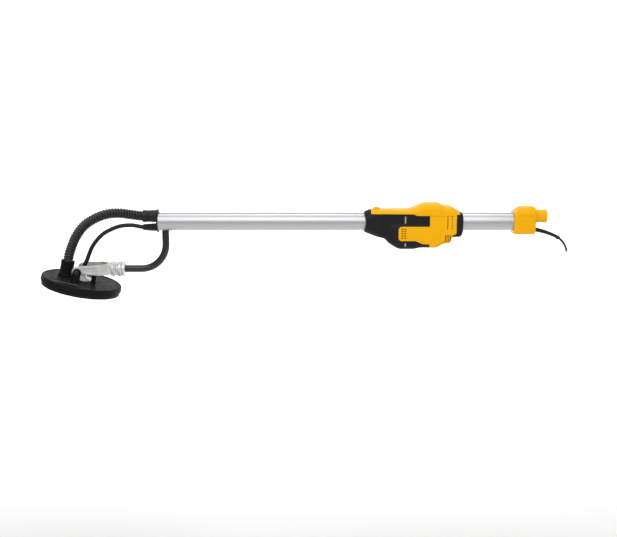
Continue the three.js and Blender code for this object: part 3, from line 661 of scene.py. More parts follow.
def make_front_cap():
    front, rear = POLE_FRONT - 0.004, POLE_FRONT - GAP
    cap = lathe("front_cap_moulded", rod_profile(POLE_RADIUS + 0.0012, front, rear, 0.001), (0, 0, 0), AXIS_X)
    tab = rounded(-0.0022, 0.0022, 0.034, 0.0395, 0.001)
    lip = rounded(-0.008, 0.008, -0.032, -0.026, 0.002)
    add(
        cap,
        rod(0.0202, front - 0.0002, rear, (0, 0, DUST_HEIGHT), segments=64, edge=0.001),
        rod(POLE_RADIUS - 0.0023, rear - 0.001, POLE_FRONT + 0.020, segments=96, edge=0.001),
        prism("tab", tab, front, rear, "x"),
        prism("lip", lip, front - 0.001, rear - 0.0002, "x"),
    )
    cut(
        cap,
        rod(0.0125, POLE_FRONT - 0.02, POLE_FRONT + 0.03, (0, 0, 0.011)),
        rod(0.006, POLE_FRONT - 0.02, POLE_FRONT + 0.03, (0, 0, CABLE_HEIGHT), segments=32),
    )
    place(cap, black_plastic, "black_plastic", "root", "front_cap")


def make_hose_cuff():
    low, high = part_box("hose_cuff")
    outer = [(0.0166, low.x), (0.0180, low.x), (0.0186, low.x + 0.002), (0.0186, low.x + 0.011)]
    for i in range(3):
        start = low.x + 0.012 + 0.006 * i
        outer += [(0.0176, start), (0.0176, start + 0.0022), (0.0186, start + 0.0030),
                  (0.0186, start + 0.0055)]
    outer += [(0.0186, high.x - 0.006), (0.0192, high.x - 0.005), (0.0192, high.x - 0.001), (0.0186, high.x),
              (0.0166, high.x)]
    cuff = lathe("hose_cuff_moulded", fillet(outer, 0.0005, steps=2), (0, 0, DUST_HEIGHT), AXIS_X, 64)
    place(cuff, rubber, "black_rubber", "root", "hose_cuff")


def make_cable_boot():
    low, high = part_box("cable_boot")
    outer = [(0.0076, low.x), (0.0088, low.x)]
    for i in range(5):
        start = low.x + 0.004 + 0.0075 * i
        radius = 0.0090 + 0.0006 * i
        outer += [(radius, start), (radius + 0.0018, start + 0.0012), (radius + 0.0018, start + 0.0042),
                  (radius, start + 0.0054)]
    outer += [(0.0122, high.x - 0.002), (0.0122, high.x), (0.0076, high.x)]
    boot = lathe("cable_boot_moulded", fillet(outer, 0.0005, steps=2), (0, 0, CABLE_HEIGHT), AXIS_X, 48)
    place(boot, rubber, "black_rubber", "root", "cable_boot")


def make_support_tube():
    x, bend, radius, wall = -0.7585, 0.077, 0.01125, 0.0018
    route = [Vector((x, 0, -0.0268)), Vector((x, 0, SUPPORT_HEIGHT + bend))]
    for i in range(1, 49):
        angle = pi / 2 * i / 48
        forward, upward = bend * (1 - cos(angle)), bend * (1 - sin(angle))
        route.append(Vector((x - forward, 0, SUPPORT_HEIGHT + upward)))
    route.append(Vector((SUPPORT_END, 0, SUPPORT_HEIGHT)))
    path = even(route, 0.003)
    tube = sweep("support_tube_bent", path, lambda d, a: radius, 40, lambda d, a: radius - wall)
    cut(tube, rod(POLE_RADIUS + GAP, -0.8, -0.7, segments=128))
    ring = ring_profile(radius + 0.003, radius - 0.001, SUPPORT_END, SUPPORT_END + 0.0036, 0.0004)
    add(tube, lathe("ring", ring, (0, 0, SUPPORT_HEIGHT), AXIS_X, 40))
    place(tube, black_paint, "black_steel", "root", "support_tube")


def halves(route, step):
    """A route's two evenly stepped halves, which meet at its middle."""
    path = even(catmull(route, 0.001), step)
    middle = len(path) // 2
    return path[:middle + 1], path[middle:]


def make_hose_and_sheath():
    """The ribbed dust hose and the cable's wound sheath, each as two halves."""
    pitch, rib_depth, hose_radius, hose_wall = 0.0084, 0.0032, 0.0164, 0.0016
    lay, sheath_radius = 0.007, 0.0065

    def outside(offset):
        def radius(distance, _):
            ridge = (0.5 + 0.5 * cos(2 * pi * (distance + offset) / pitch)) ** 0.7
            return hose_radius - rib_depth * (1 - ridge)
        return radius

    def inside(offset):
        outer = outside(offset)
        return lambda distance, angle: outer(distance, angle) - hose_wall

    def twisted(offset):
        def radius(distance, angle):
            turn = cos(2 * pi * (distance + offset) / lay + angle)
            return sheath_radius + 0.00025 * tanh(2.5 * turn)
        return radius

    bodies = (("root", "yoke"), ("yoke", "head"))
    for kind, route, step in (("dust_hose", HOSE_ROUTE, pitch / 12), ("sheath", SHEATH_ROUTE, 0.0009)):
        offset = 0.0
        for half, (first, second), path in zip(("upper", "lower"), bodies, halves(route, step)):
            if kind == "dust_hose":
                piece = sweep(f"{kind}_{half}_ribbed", path, outside(offset), 40, inside(offset))
            else:
                piece = sweep(f"{kind}_{half}_wound", path, twisted(offset), 24)
            offset += step * (len(path) - 1)
            dress(piece, hose_plastic if kind == "dust_hose" else rubber)
            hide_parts(f"{kind}_{half}")
            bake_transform(piece)


# ---------------------------------------------------------------- yoke and head

def make_yoke():
    arm_inner, arm_outer, collar, rear, crotch, boss = 0.034, 0.042, 0.020, -0.905, -0.940, 0.017
    tip = PIVOT.x - boss
    plan = fillet([
        (tip, -arm_outer), (-0.962, -arm_outer), (-0.932, -collar), (rear, -collar), (rear, collar),
        (-0.932, collar), (-0.962, arm_outer), (tip, arm_outer), (tip, arm_inner), (-0.966, arm_inner),
        (crotch, 0.015), (crotch, -0.015), (-0.966, -arm_inner), (tip, -arm_inner),
    ], 0.006)
    side = [(-1.020, PIVOT.z - 0.008), (-1.000, -0.157), (-0.930, SUPPORT_HEIGHT - 0.017),
            (rear, SUPPORT_HEIGHT - 0.017), (rear, SUPPORT_HEIGHT + 0.017), (-0.930, SUPPORT_HEIGHT + 0.017),
            (-1.004, -0.131)]
    for i in range(17):
        angle = radians(75 + 140 * i / 16)
        side.append((PIVOT.x + boss * cos(angle), PIVOT.z + boss * sin(angle)))
    fork = prism("yoke_cast", plan, -0.180, -0.110, "z")
    common(fork, prism("side", side, -0.06, 0.06))
    recess = fillet([(-1.006, -0.1495), (-0.964, -0.1555), (-0.962, -0.1360), (-1.004, -0.1390)], 0.003)
    for _, facing in SIDES:
        cut(fork, prism("recess", recess, *span(facing, arm_outer - 0.0016, arm_outer + 0.005)))
    soften(fork, 0.0016, 3, 40)
    profile = fillet([
        (0, crotch), (collar - 0.002, crotch), (collar, -0.932), (collar, -0.927), (collar + 0.003, -0.925),
        (collar + 0.003, -0.918), (collar, -0.916), (collar, -0.912), (collar + 0.0015, -0.911),
        (collar + 0.0015, rear), (0, rear),
    ], 0.0008, closed=False, steps=3)
    add(fork, lathe("collar", profile, (0, 0, SUPPORT_HEIGHT), AXIS_X, 72))
    cut(
        fork,
        rod(0.01125 + GAP, -0.99, -0.89, (0, 0, SUPPORT_HEIGHT)),
        rod(0.0043, -0.06, 0.06, PIVOT, AXIS_Y, 32),
    )
    place(fork, cast_metal, "cast_aluminium", "yoke", "yoke")


def make_swivel_nut():
    """The ring nut behind the fork, with a groove and eighteen flutes."""
    low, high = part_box("swivel_nut")
    bore, flutes, flute_centre = 0.01155, 18, 0.0246
    outer = fillet([(bore, low.x), (0.0232, low.x), (0.0236, low.x + 0.0015), (0.0236, low.x + 0.0075),
                    (0.0214, low.x + 0.0105), (0.0236, low.x + 0.0135), (0.0222, high.x - 0.001),
                    (0.0215, high.x), (bore, high.x)], 0.0007, steps=3)
    nut = lathe("swivel_nut_turned", outer, (0, 0, SUPPORT_HEIGHT), AXIS_X, 72)
    for angle in around(flutes):
        across, up = cos(angle) * flute_centre, sin(angle) * flute_centre
        centre = Vector((low.x - 0.001, across, SUPPORT_HEIGHT + up))
        cut(nut, rod(0.0016, 0, 0.0095, centre, segments=12, edge=0.0003))
    place(nut, cast_metal, "cast_aluminium", "yoke", "swivel_nut")


def make_pivot_bolts():
    for name, side in SIDES:
        profile = [(0, 0.029), (0.0056, 0.029), (0.006, 0.0294), (0.006, 0.0332), (0.004, 0.0335),
                   (0.004, 0.051), (0.0070, 0.051), (0.0072, 0.0515), (0.0072, 0.0536), (0.0064, 0.0545),
                   (0.0032, 0.0545), (0.0032, 0.0525), (0, 0.0525)]
        bolt = lathe(f"pivot_bolt_{name}_turned", profile, (0, 0, 0), AXIS_Y * side, 48)
        place(move(bolt, HEAD), black_steel, "black_steel", "head", f"pivot_bolt_{name}")


def make_shroud():
    top, outer = SHROUD_TOP, 0.1225
    axis = (HEAD_AXIS, 0, 0)
    profile = fillet([
        (0.0243, top - 0.003), (0.1140, top - 0.003), (0.1192, top - 0.008), (0.1195, top - 0.018),
        (outer, top - 0.018), (outer, top - 0.0115), (0.1212, top - 0.0105), (outer - 0.0006, top - 0.0095),
        (0.1212, top - 0.0020), (0.1180, top), (0.1120, top - 0.0004), (0.1110, top - 0.0012),
        (0.0480, top + 0.0002), (0.0460, top + 0.0014), (0.0330, top + 0.0016), (0.0243, top + 0.0010),
    ], 0.0012, steps=3)
    shroud = lathe("head_shroud_moulded", profile, axis, AXIS_Z, 160)

    ear = [(0.0145, top - 0.0015), (0.012, top + 0.006)]
    ear += [(0.012 * cos(pi * i / 16), 0.012 * sin(pi * i / 16)) for i in range(17)]
    ear += [(-0.012, top + 0.006), (-0.0145, top - 0.0015)]
    parts = []
    for low, high in ((-0.0505, -0.0425), (0.0425, 0.0505)):
        lug = prism("ear", fillet(ear, 0.002, steps=3), low, high)
        soften(lug, 0.0012, 3, 40)
        parts.append(lug)
        web_low = low - 0.006 if low < 0 else high - 0.001
        gusset = fillet([(web_low, top - 0.001), (web_low + 0.007, top - 0.001),
                         ((web_low + 0.007) if low < 0 else web_low, top + 0.012)], 0.0006, steps=2)
        parts.append(prism("gusset", gusset, -0.0015, 0.0015, "x"))
    port = fillet([(0, top - 0.0015), (0.0225, top - 0.0015), (0.0222, top + 0.006), (0.0204, top + 0.009),
                   (0.0200, 0.012), (0.0206, 0.013), (0.0206, 0.0205), (0.0198, 0.022), (0, 0.022)],
                  0.0014, closed=False, steps=3)
    parts.append(lathe("port", port, (PORT_X, 0, 0), AXIS_Z, 72))
    post = prism("post", rounded(0.042, 0.056, -0.027, -0.013, 0.003), top - 0.0015, 0.006, "z")
    soften(post, 0.0012, 3, 40)
    parts.append(post)
    add(shroud, *parts)
    cut(
        shroud,
        rod(0.0165, top - 0.01, 0.03, (PORT_X, 0, 0), AXIS_Z, 64),
        rod(0.0043, -0.06, 0.06, axis=AXIS_Y, segments=32),
    )
    place(move(shroud, HEAD), head_plastic, "black_plastic", "head", "head_shroud")


def make_shroud_label():
    """A plain raised bar on the top of the shroud."""
    label = rounded(-0.052, 0.018, -0.0895, -0.0835, 0.0025)
    bar = prism("shroud_label_bar", label, SHROUD_TOP - 0.0008, SHROUD_TOP + 0.0009, "z")
    place(move(bar, HEAD), label_plastic, "black_plastic", "head")


def make_hub():
    axis = (HEAD_AXIS, 0, 0)
    seat = -0.0277
    profile = fillet([
        (0.015, -0.038), (0.024, -0.038), (0.024, seat), (0.030, seat), (0.030, -0.0235), (0.027, -0.022),
        (0.0145, -0.0195), (0.0115, -0.0155), (0.011, -0.008), (0.0072, -0.008), (0.0072, -0.011),
        (0.009, -0.011), (0.009, -0.020), (0.015, -0.020),
    ], 0.0008, steps=3)
    hub = lathe("hub_housing_cast", profile, axis, AXIS_Z, 96)
    screws = []
    for i in range(4):
        angle = radians(45 + 90 * i)
        centre = (HEAD_AXIS + 0.0262 * cos(angle), 0.0262 * sin(angle), 0)
        head = [(0, -0.0236), (0.0024, -0.0236), (0.0024, -0.0208), (0.0019, -0.0203), (0.0011, -0.0203),
                (0.0011, -0.0212), (0, -0.0212)]
        screws.append(lathe("screw", head, centre, AXIS_Z, 24))
    add(hub, *screws)
    place(move(hub, HEAD), cast_metal, "cast_aluminium", "head", "hub_housing")


def make_cable_nut():
    axis = (HEAD_AXIS, 0, 0)
    outline = [(HEAD_AXIS + 0.012 * cos(a), 0.012 * sin(a)) for a in around(6)]
    nut = prism("cable_nut_hex", outline, -0.0077, -0.0005, "z")
    soften(nut, 0.0005, 2)
    add(nut, rod(0.0098, -0.004, 0.006, axis, AXIS_Z, edge=0.0008))
    cut(nut, rod(0.0076, -0.02, 0.02, axis, AXIS_Z))
    place(move(nut, HEAD), cast_metal, "cast_aluminium", "head", "cable_nut")


def disc_with_holes(name, outer, inner, low, high, edge, holes=8, ring=0.072, hole=0.0065):
    disc = lathe(name, ring_profile(outer, inner, low, high, edge), (HEAD_AXIS, 0, 0), AXIS_Z, 144)
    for i in range(holes):
        angle = 2 * pi * (i + 0.5) / holes
        centre = (HEAD_AXIS + ring * cos(angle), ring * sin(angle), 0)
        cut(disc, rod(hole, -0.08, -0.03, centre, AXIS_Z, 32))
    return move(disc, HEAD)


def make_pad():
    top, face = -0.044, -0.057
    backing = disc_with_holes("backing_pad_moulded", 0.1115, 0.0043, top - 0.005, top, 0.0008)
    place(backing, black_plastic, "black_plastic", "pad", "backing_pad")
    foam = disc_with_holes("foam_pad_cut", 0.1125, 0.013, top - 0.011, top - 0.0053, 0.0006)
    place(foam, foam_rubber, "foam", "pad", "foam_pad")
    paper = disc_with_holes("abrasive_disc_punched", 0.1124, 0.013, face, top - 0.0113, 0.0002)
    place(paper, grit, "abrasive", "pad", "abrasive_disc")
    profile = [(0, -0.0505), (0.004, -0.0505), (0.004, -0.053), (0.0092, -0.053), (0.010, -0.0522),
               (0.010, -0.0493), (0.004, -0.0493), (0.004, -0.032), (0, -0.032)]
    bolt = lathe("pad_bolt_turned", profile, (HEAD_AXIS, 0, 0), AXIS_Z, 48)
    place(move(bolt, HEAD), steel, "steel", "pad", "pad_bolt")


def make_skirt_ring():
    radius, inner, top, joint = SKIRT_RADIUS, SKIRT_INNER, -0.0415, SKIRT_JOINT
    axis = (HEAD_AXIS, 0, 0)
    profile = fillet([(inner - 0.001, joint), (radius - 0.0006, joint), (radius, joint + 0.0015),
                      (radius, top), (inner - 0.001, top)], 0.0006, steps=2)
    ring = lathe("skirt_ring_moulded", profile, axis, AXIS_Z, 160)
    place(move(ring, HEAD), head_plastic, "black_plastic", "skirt", "skirt_ring")


def make_bristles():
    """The brush below the ring: a closed band of small tufts with an uneven lower edge."""
    radius, inner, joint, face = SKIRT_RADIUS, SKIRT_INNER, SKIRT_JOINT, -0.057
    tufts, steps = 240, 6
    rings = []
    levels = ((joint - GAP, 0.4), (joint - 0.002, 0.8), (face + 0.001, 1.0), (face, 0.8))
    for outer_side in (True, False):
        for level, spread in levels if outer_side else levels[::-1]:
            row = []
            for k, angle in enumerate(around(tufts * steps)):
                ripple = 0.00045 * spread * cos(2 * pi * k / steps)
                uneven = 0.0
                if level < face + 0.0005:
                    uneven = 0.0002 * sin(37 * angle) + 0.0002 * sin(53 * angle + 1)
                r = (radius - 0.0008 + ripple) if outer_side else (inner + 0.0006 - ripple)
                row.append((HEAD_AXIS + r * cos(angle), r * sin(angle), level + abs(uneven)))
            rings.append(row)
    bristles = move(from_rings("skirt_bristles_tufted", rings, closed=True), HEAD)
    place(bristles, nylon, "bristle", "skirt", "skirt_bristles")


# ---------------------------------------------------------------- motor housing

TOP_LINE = fillet([
    (-0.153, 0.031), (-0.142, 0.036), (-0.128, 0.0385), (-0.014, 0.0385), (0.027, 0.0575), (0.077, 0.0575),
    (0.087, 0.0485), (0.115, 0.0475), (0.124, 0.038), (0.138, 0.033), (0.145, 0.027),
], 0.008, closed=False)
BOTTOM_LINE = fillet([
    (-0.153, -0.031), (-0.136, -0.037), (-0.114, -0.044), (-0.092, -0.049), (-0.080, -0.062),
    (-0.065, -0.072), (-0.048, -0.0805), (-0.002, -0.0805), (0.014, -0.0763), (0.067, -0.0763),
    (0.088, -0.064), (0.108, -0.062), (0.1125, -0.044), (0.138, -0.043), (0.145, -0.036),
], 0.007, closed=False)
WIDTH_LINE = fillet([(-0.153, 0.033), (-0.110, 0.039), (-0.060, 0.044), (0.105, 0.044), (0.145, 0.039)], 0.02,
                    closed=False)
HOUSING_FRONT, HOUSING_REAR = -0.153, 0.145
TONGUE_LEFT, TONGUE_TOP, TONGUE_BOTTOM, TONGUE_CORNER = -0.051, -0.010, -0.0535, 0.010
GRIP_END, COVER_START, COVER_EDGE, COVER_EDGE_REAR = 0.043, -0.133, 0.027, 0.022
BUMPER_START, BUMPER_TOE, COVER_TIP, TIP_HEIGHT = 0.124, 0.113, 0.134, 0.026
COVER_LINE = [(COVER_START, COVER_EDGE), (-0.006, COVER_EDGE), (0.005, COVER_EDGE_REAR)]
SEAM = 0.00025  # half the gap between neighbouring shells
DIAL = (0.062, 0, 0.004)
SCREWS = ((-0.100, 0, -0.020), (0.080, 0, -0.045))


def end_stations(front, rear, depth, front_round, rear_round, front_steps, rear_steps, middle_steps):
    """(x, depth) pairs along a shell: it starts and ends further in, so that both its rims are rounded."""
    def turn(step, steps, radius):
        angle = pi / 2 * step / steps
        return radius * (1 - cos(angle)), radius * (1 - sin(angle))

    starts = [turn(k, front_steps, front_round) for k in range(front_steps)]
    ends = [turn(k, rear_steps, rear_round) for k in range(1, rear_steps + 1)]
    middle = np.linspace(front + front_round, rear - rear_round, middle_steps)
    stations = [(front + along, depth + inwards) for along, inwards in starts]
    stations += [(x, depth) for x in middle]
    stations += [(rear - along, depth + inwards) for inwards, along in ends]
    return stations


def line_at(line, x):
    return float(np.interp(x, [p[0] for p in line], [p[1] for p in line]))


def housing_section(x, depth):
    """The section at x, moved in by a depth: the grip above is narrower than the motor barrel below."""
    half = line_at(WIDTH_LINE, x) - depth
    low = line_at(BOTTOM_LINE, x) + depth
    high = line_at(TOP_LINE, x) - depth
    radius = 0.028 - 0.010 * smooth_step(-0.150, -0.105, x) - 0.004 * smooth_step(0.09, 0.13, x)
    waist = 0.0045 * smooth_step(-0.112, -0.088, x) * (1 - smooth_step(0.036, 0.052, x))
    crest = -0.0085 - 0.034 * (1 - smooth_step(-0.100, -0.064, x))
    neck = 0.0032 * exp(-((x - 0.080) / 0.0065) ** 2)
    ring = []
    for y, z in round_rectangle(half, low, high, radius, 8, 36, 12):
        above_crest = smooth_step(crest - 0.0035, crest + 0.0035, z)
        pull = waist * above_crest * (1 - 0.6 * smooth_step(0.020, 0.034, z))
        pull += neck * (1 - smooth_step(-0.034, -0.016, z))
        barrel = 0.0016 * exp(-((z + 0.038) / 0.018) ** 2)
        barrel *= smooth_step(-0.098, -0.060, x) * (1 - smooth_step(0.060, 0.095, x))
        ring.append((x, y * (1 - (pull - barrel) / half), z))
    return ring


def housing_solid(name, depth):
    stations = end_stations(HOUSING_FRONT + depth, HOUSING_REAR - depth, depth, 0.002, 0.006, 4, 5, 150)
    return from_rings(name, [housing_section(x, inwards) for x, inwards in stations])


def housing_walls(name, proud=0.0):
    tube = rod(POLE_RADIUS + GAP, -0.22, 0.22, segments=96)
    return cut(housing_solid(name, -proud), housing_solid("hollow", SKIN), tube)


def tongue_outline():
    """The yellow tongue's edge, from its lower rear round the two corners at its front."""
    left, corner = TONGUE_LEFT, TONGUE_CORNER
    points = [(0.021, -0.0624), (0.001, TONGUE_BOTTOM)]
    turns = [pi / 2 * k / 8 for k in range(9)]
    for a in turns:
        points.append((left + corner * (1 - sin(a)), TONGUE_BOTTOM + corner - corner * cos(a)))
    for a in turns:
        points.append((left + corner * (1 - cos(a)), TONGUE_TOP - corner + corner * sin(a)))
    return points


def slab(outline, grow=0.0):
    return prism("slab", inset(outline, -grow), -0.07, 0.07)


def one_side(solid, name, side):
    """A copy of one side of a solid, just clear of the middle plane."""
    low, high = span(side, GAP / 2, 0.07)
    return common(duplicate(solid, name), block("side", (-0.2, low, -0.12), (0.5, high, 0.1)))


def vent_slot(x, z_low, z_high, width, side):
    """A round-ended cutter for a vent through the near (-1) or far (1) wall."""
    half = width / 2
    corner = min(half, (z_high - z_low) / 2) * 0.9
    outline = rounded(x - half, x + half, z_low, z_high, corner, steps=4)
    return prism("slot", outline, *span(side, 0.035, 0.055))


def side_slots():
    """Vents that both sides have: two columns on the tongue, a long slot, a row of dashes and the fins."""
    slots = []
    for x in (-0.0395, -0.0305):
        for z in [-0.0176 - 0.0068 * row for row in range(5)]:
            slots.append((x, z - 0.0015, z + 0.0015, 0.0068))
    slots.append((0.0965, -0.018, 0.0215, 0.0022))
    for z in [0.0205 - 0.0088 * row for row in range(5)]:
        slots.append((0.110, z - 0.0023, z + 0.0023, 0.0027))
    for column in range(4):
        slots.append((0.0905 + 0.0052 * column, -0.0575, -0.0345, 0.0023))
    return [vent_slot(*slot, side) for _, side in SIDES for slot in slots]


def make_side_shells(black, yellow, grip, cover, bumper):
    """The two black grip shells and the two yellow motor shells between the lid and the bumper."""
    grip_skin = common(duplicate(black, "grip_skin"), slab(grip, -SEAM))
    scallop = 0.0986
    cut(grip_skin, rod(scallop, -0.08, 0.08, (-0.148 - scallop, 0, 0), AXIS_Y, 256))
    motor_skin = cut(duplicate(yellow, "motor_skin"), slab(grip, SEAM), slab(cover, SEAM), slab(bumper, SEAM))
    cut(motor_skin, *side_slots())
    for name, side in SIDES:
        shell = one_side(grip_skin, f"grip_shell_{name}_moulded", side)
        motor = one_side(motor_skin, f"motor_shell_{name}_moulded", side)
        if name == "far":
            cut(shell, rod(0.0045, 0.03, 0.06, SCREWS[0], AXIS_Y, 32))
            cut(motor, rod(0.0045, 0.03, 0.06, SCREWS[1], AXIS_Y, 32))
            cut(motor, rod(0.0126, 0.03, 0.06, DIAL, AXIS_Y, 64))
        place(shell, grip_plastic, "black_plastic", "root", f"grip_shell_{name}")
        place(motor, yellow_plastic, "yellow_plastic", "root", f"motor_shell_{name}")
    discard(grip_skin, motor_skin)


def make_housing():
    grip = [(-0.17, -0.1), (GRIP_END, -0.1), (GRIP_END, -0.0644), *tongue_outline(), (GRIP_END, TONGUE_TOP),
            (GRIP_END, COVER_EDGE_REAR), *COVER_LINE[::-1], (COVER_START, 0.08), (-0.17, 0.08)]
    cover = [*COVER_LINE, (BUMPER_START, COVER_EDGE_REAR), (BUMPER_START, TIP_HEIGHT),
             (COVER_TIP, TIP_HEIGHT), (COVER_TIP, 0.08), (COVER_START, 0.08)]
    bumper = [(BUMPER_TOE, -0.1), (0.2, -0.1), (0.2, 0.08), (COVER_TIP, 0.08), (COVER_TIP, TIP_HEIGHT),
              (BUMPER_START, TIP_HEIGHT), (BUMPER_START, -0.031), (0.119, -0.035), (BUMPER_TOE, -0.035)]
    ledge = [(COVER_START + 0.0006, 0.0275), (-0.006, 0.0275), (0.005, 0.0225), (0.1195, 0.0225),
             (0.1195, 0.0243), (0.0055, 0.0246), (-0.0055, 0.0300), (COVER_START + 0.0006, 0.0300)]
    black = housing_walls("black_walls")
    yellow = housing_walls("yellow_walls", 0.0006)
    make_side_shells(black, yellow, grip, cover, bumper)

    lid = common(duplicate(yellow, "top_cover_moulded"), slab(cover, -SEAM))
    add(lid, common(housing_walls("bead", 0.0014), slab(ledge)))
    opening = rounded(-0.1268, -0.1032, -0.0078, 0.0078, 0.0015)
    cut(lid, prism("rocker_hole", opening, 0.025, 0.06, "z"))
    place(lid, yellow_plastic, "yellow_plastic", "root", "top_cover")

    tail = common(duplicate(black, "rear_bumper_moulded"), slab(bumper, -SEAM))
    place(tail, bumper_rubber, "black_rubber", "root", "rear_bumper")
    discard(black, yellow)


def wall_patch(name, outline, side, outer, inner):
    """The part of one wall that lies inside an outline and between two depths."""
    patch = cut(housing_solid(name, outer), housing_solid("inside", inner))
    return common(patch, prism("window", outline, *span(side, 0.02, 0.06)))


def make_vent_shade_sheets():
    """Thin black sheets behind the vents: painted shade that keeps the slots dark."""
    windows = {"front": (-0.046, -0.024, -0.050, -0.012), "rear": (0.087, 0.114, -0.058, 0.021)}
    for name, side in SIDES:
        for part, window in windows.items():
            outline = rectangle(*window)
            shade_sheet = wall_patch(f"vent_shade_sheet_{name}_{part}", outline, side, SKIN + GAP, SKIN + 0.0011)
            place(shade_sheet, black_plastic, "black_plastic", "root")


def make_grey_strips():
    """Thin grey strips let into both sides of the grip, above and below the tongue."""
    heights = {"upper": (-0.001, 0.0205), "lower": (-0.0705, -0.0605)}
    for name, side in SIDES:
        for part, (low, high) in heights.items():
            outline = rounded(-0.0322, -0.0278, low, high, 0.0012, steps=3)
            strip = wall_patch(f"grip_grey_strip_{name}_{part}", outline, side, -0.0004, 0.0012)
            place(strip, grey_strip_plastic, "black_plastic", "root")


def make_rocker():
    low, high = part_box("switch_rocker")
    outline = fillet([(high.x, low.z), (high.x, 0.040), (high.x - 0.0044, high.z), (-0.115, high.z - 0.0009),
                      (low.x + 0.0044, high.z), (low.x, 0.040), (low.x, low.z)], 0.0016, steps=4)
    rocker = prism("switch_rocker_moulded", outline, low.y, high.y)
    soften(rocker, 0.0009, 3, 40)
    for i in range(4):
        x = low.x + 0.0038 + 0.0016 * i
        ridge = rounded(x, x + 0.0008, high.z - 0.002, high.z + 0.0003, 0.0002, steps=2)
        add(rocker, prism("ridge", ridge, -0.005, 0.005))
    place(rocker, yellow_plastic, "yellow_plastic", "rocker", "switch_rocker")


def make_dial():
    x, _, z = DIAL
    profile = fillet([(0, 0.038), (0.0118, 0.038), (0.012, 0.0460), (0.0110, 0.0475), (0, 0.0475)], 0.0006,
                     closed=False, steps=3)
    dial = lathe("speed_dial_knurled", profile, DIAL, AXIS_Y, 96)
    for angle in around(24):
        centre = (x + 0.0124 * cos(angle), 0, z + 0.0124 * sin(angle))
        cut(dial, rod(0.0009, 0.044, 0.049, centre, AXIS_Y, 10, 0.0001))
    pointer = rounded(0.0615, 0.0625, 0.0075, 0.0135, 0.0004, steps=3)
    cut(dial, prism("pointer", pointer, 0.0469, 0.05))
    place(dial, black_plastic, "black_plastic", "dial", "speed_dial")


def make_housing_screws():
    for number, centre, wall in zip((1, 2), SCREWS, (0.0402, 0.044)):
        profile = [(0, wall - 0.014), (0.0019, wall - 0.014), (0.0019, wall + GAP), (0.004, wall + GAP),
                   (0.0041, wall + 0.0014), (0.0034, wall + 0.0024), (0.0016, wall + 0.0028),
                   (0.0016, wall + 0.0010), (0, wall + 0.0010)]
        screw = lathe(f"housing_screw_{number}_turned", profile, centre, AXIS_Y, 36)
        place(screw, steel, "steel", "root", f"housing_screw_{number}")


# ---------------------------------------------------------------- rear end piece

END_FRONT, END_REAR = 0.300, 0.365


def end_section(x, depth):
    top = float(np.interp(x, (0.300, 0.320, 0.326, 0.365), (0.0305, 0.0455, 0.047, 0.047)))
    bottom = float(np.interp(x, (0.300, 0.3035, 0.365), (-0.0340, -0.0365, -0.0365)))
    half = float(np.interp(x, (0.300, 0.306, 0.350, 0.365), (0.0322, 0.034, 0.034, 0.0335))) - depth
    ring = []
    for y, z in round_rectangle(half, bottom + depth, top - depth, 0.013, 8, 24, 10):
        shoulder = 0.0045 * smooth_step(0.0265, 0.047, z) * smooth_step(0.304, 0.318, x)
        ring.append((x, y * (1 - shoulder / half), z))
    return ring


def end_solid(name, depth, edge):
    stations = end_stations(END_FRONT + depth, END_REAR - depth, depth, 0.0016, edge, 3, 6, 48)
    return from_rings(name, [end_section(x, inwards) for x, inwards in stations])


def make_end_piece():
    body = end_solid("end_walls", 0.0, 0.0045)
    cut(
        body,
        end_solid("hollow", SKIN, 0.003),
        rod(POLE_RADIUS + GAP, 0.28, 0.32, segments=96),
        rod(0.0203, 0.35, 0.38, (0, 0, DUST_HEIGHT), segments=72),
        rod(0.0082, 0.35, 0.38, (0, 0, RELIEF_ROUTE[0][2])),
    )
    panel = rounded(0.316, 0.3585, -0.0125, 0.0235, 0.003)
    rib = rounded(0.322, 0.360, -0.0188, -0.0162, 0.0012, steps=4)
    for _, side in SIDES:
        cut(body, prism("panel", panel, *span(side, 0.0324, 0.040)))
    for _, side in SIDES:
        add(body, prism("rib", rib, *span(side, 0.0328, 0.0354)))
    for name, side in SIDES:
        shell = one_side(body, f"end_shell_{name}_moulded", side)
        place(shell, yellow_plastic, "yellow_plastic", "root", f"end_shell_{name}")
    discard(body)


def make_spigot():
    """The yellow hose spigot, which starts with a flange inside the end piece."""
    inside = END_REAR - 0.003 - GAP
    profile = fillet([
        (0.0170, inside - 0.004), (0.0230, inside - 0.004), (0.0230, inside), (0.0200, inside),
        (0.0199, 0.376), (0.0192, 0.378), (0.0190, 0.389), (0.0203, 0.393), (0.0206, 0.3965),
        (0.0203, 0.402), (0.0170, 0.402),
    ], 0.0008, steps=3)
    spigot = lathe("hose_spigot_moulded", profile, (0, 0, DUST_HEIGHT), AXIS_X, 96)
    place(spigot, yellow_plastic, "yellow_plastic", "root", "hose_spigot")


# ---------------------------------------------------------------- inner pieces left as the frame has them

def dress_inner_pieces():
    groups = (
        (black_plastic, "black_plastic", ("pole_spacer", "dust_pipe_front", "dust_pipe_motor",
                                          "dust_pipe_rear", "motor_fan", "switch_body")),
        (steel, "steel", ("drive_shaft", "motor_pinion", "idler_gear", "output_gear", "spindle")),
        (bearing_steel, "steel", ("hub_bearing", "armature_bearing_front", "armature_bearing_rear")),
        (laminations, "steel", ("stator",)),
        (copper, "copper", ("armature",)),
    )
    for material, slot, nodes in groups:
        for node in nodes:
            dress(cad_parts[node], material)


# ---------------------------------------------------------------- studio

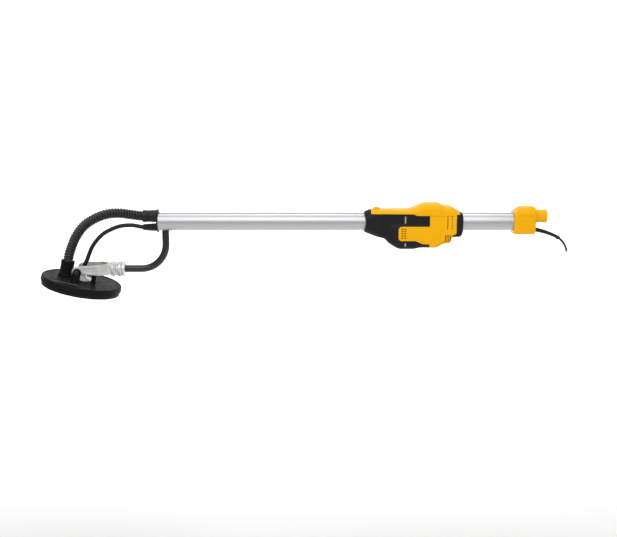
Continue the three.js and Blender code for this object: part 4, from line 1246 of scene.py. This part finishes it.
def make_studio():
    """A pale floor well below the tool, curving up into a backdrop, under soft boxes."""
    floor_height, wall_start, curve, width = -0.95, 3.0, 1.5, 9
    rows = [(-6, floor_height), (wall_start, floor_height)]
    for k in range(1, 13):
        angle = pi / 2 * k / 12
        rows.append((wall_start + curve * sin(angle), floor_height + curve * (1 - cos(angle))))
    rows.append((wall_start + curve, 6.0))
    vertices = [(x, y, z) for y, z in rows for x in (-width, width)]
    faces = [(2 * i, 2 * i + 1, 2 * i + 3, 2 * i + 2) for i in range(len(rows) - 1)]
    mesh = bpy.data.meshes.new("floor")
    mesh.from_pydata(vertices, [], faces)
    mesh.shade_smooth()
    material = bpy.data.materials.new("pale floor")
    material.use_nodes = True
    shader = material.node_tree.nodes["Principled BSDF"]
    shader.inputs["Base Color"].default_value = (0.93, 0.93, 0.93, 1)
    shader.inputs["Roughness"].default_value = 0.9
    mesh.materials.append(material)
    floor = show("floor", mesh)

    world = bpy.data.worlds.new("studio")
    world.use_nodes = True
    world.node_tree.nodes["Background"].inputs["Color"].default_value = (1, 1, 1, 1)
    world.node_tree.nodes["Background"].inputs["Strength"].default_value = 0.5
    bpy.context.scene.world = world

    boxes = (
        ("key", (-0.5, -2.5, 2.3), (-0.3, 0, 0), (4.4, 2.8), 68, 180),
        ("top", (-0.3, 0.3, 2.4), (-0.3, 0, 0), (4.0, 0.8), 10, 180),
        ("back", (-0.3, 1.6, 3.2), (-0.3, 3.1, -0.65), (7.0, 2.4), 135, 95),
    )
    for name, spot, target, (width, depth), power, spread in boxes:
        data = bpy.data.lights.new(name, "AREA")
        data.shape = "RECTANGLE"
        data.size, data.size_y = width, depth
        data.energy = power
        data.spread = radians(spread)
        light = show(name, data)
        light.location = spot
        light.rotation_euler = (Vector(target) - Vector(spot)).to_track_quat("-Z", "Y").to_euler()
    bpy.context.scene.view_settings.view_transform = "Standard"


make_camera()
make_cord()
make_tubes()
make_front_cap()
make_hose_cuff()
make_cable_boot()
make_support_tube()
make_hose_and_sheath()
make_yoke()
make_swivel_nut()
make_pivot_bolts()
make_shroud()
make_shroud_label()
make_hub()
make_cable_nut()
make_pad()
make_skirt_ring()
make_bristles()
make_housing()
make_vent_shade_sheets()
make_grey_strips()
make_rocker()
make_dial()
make_housing_screws()
make_end_piece()
make_spigot()
dress_inner_pieces()
make_studio()
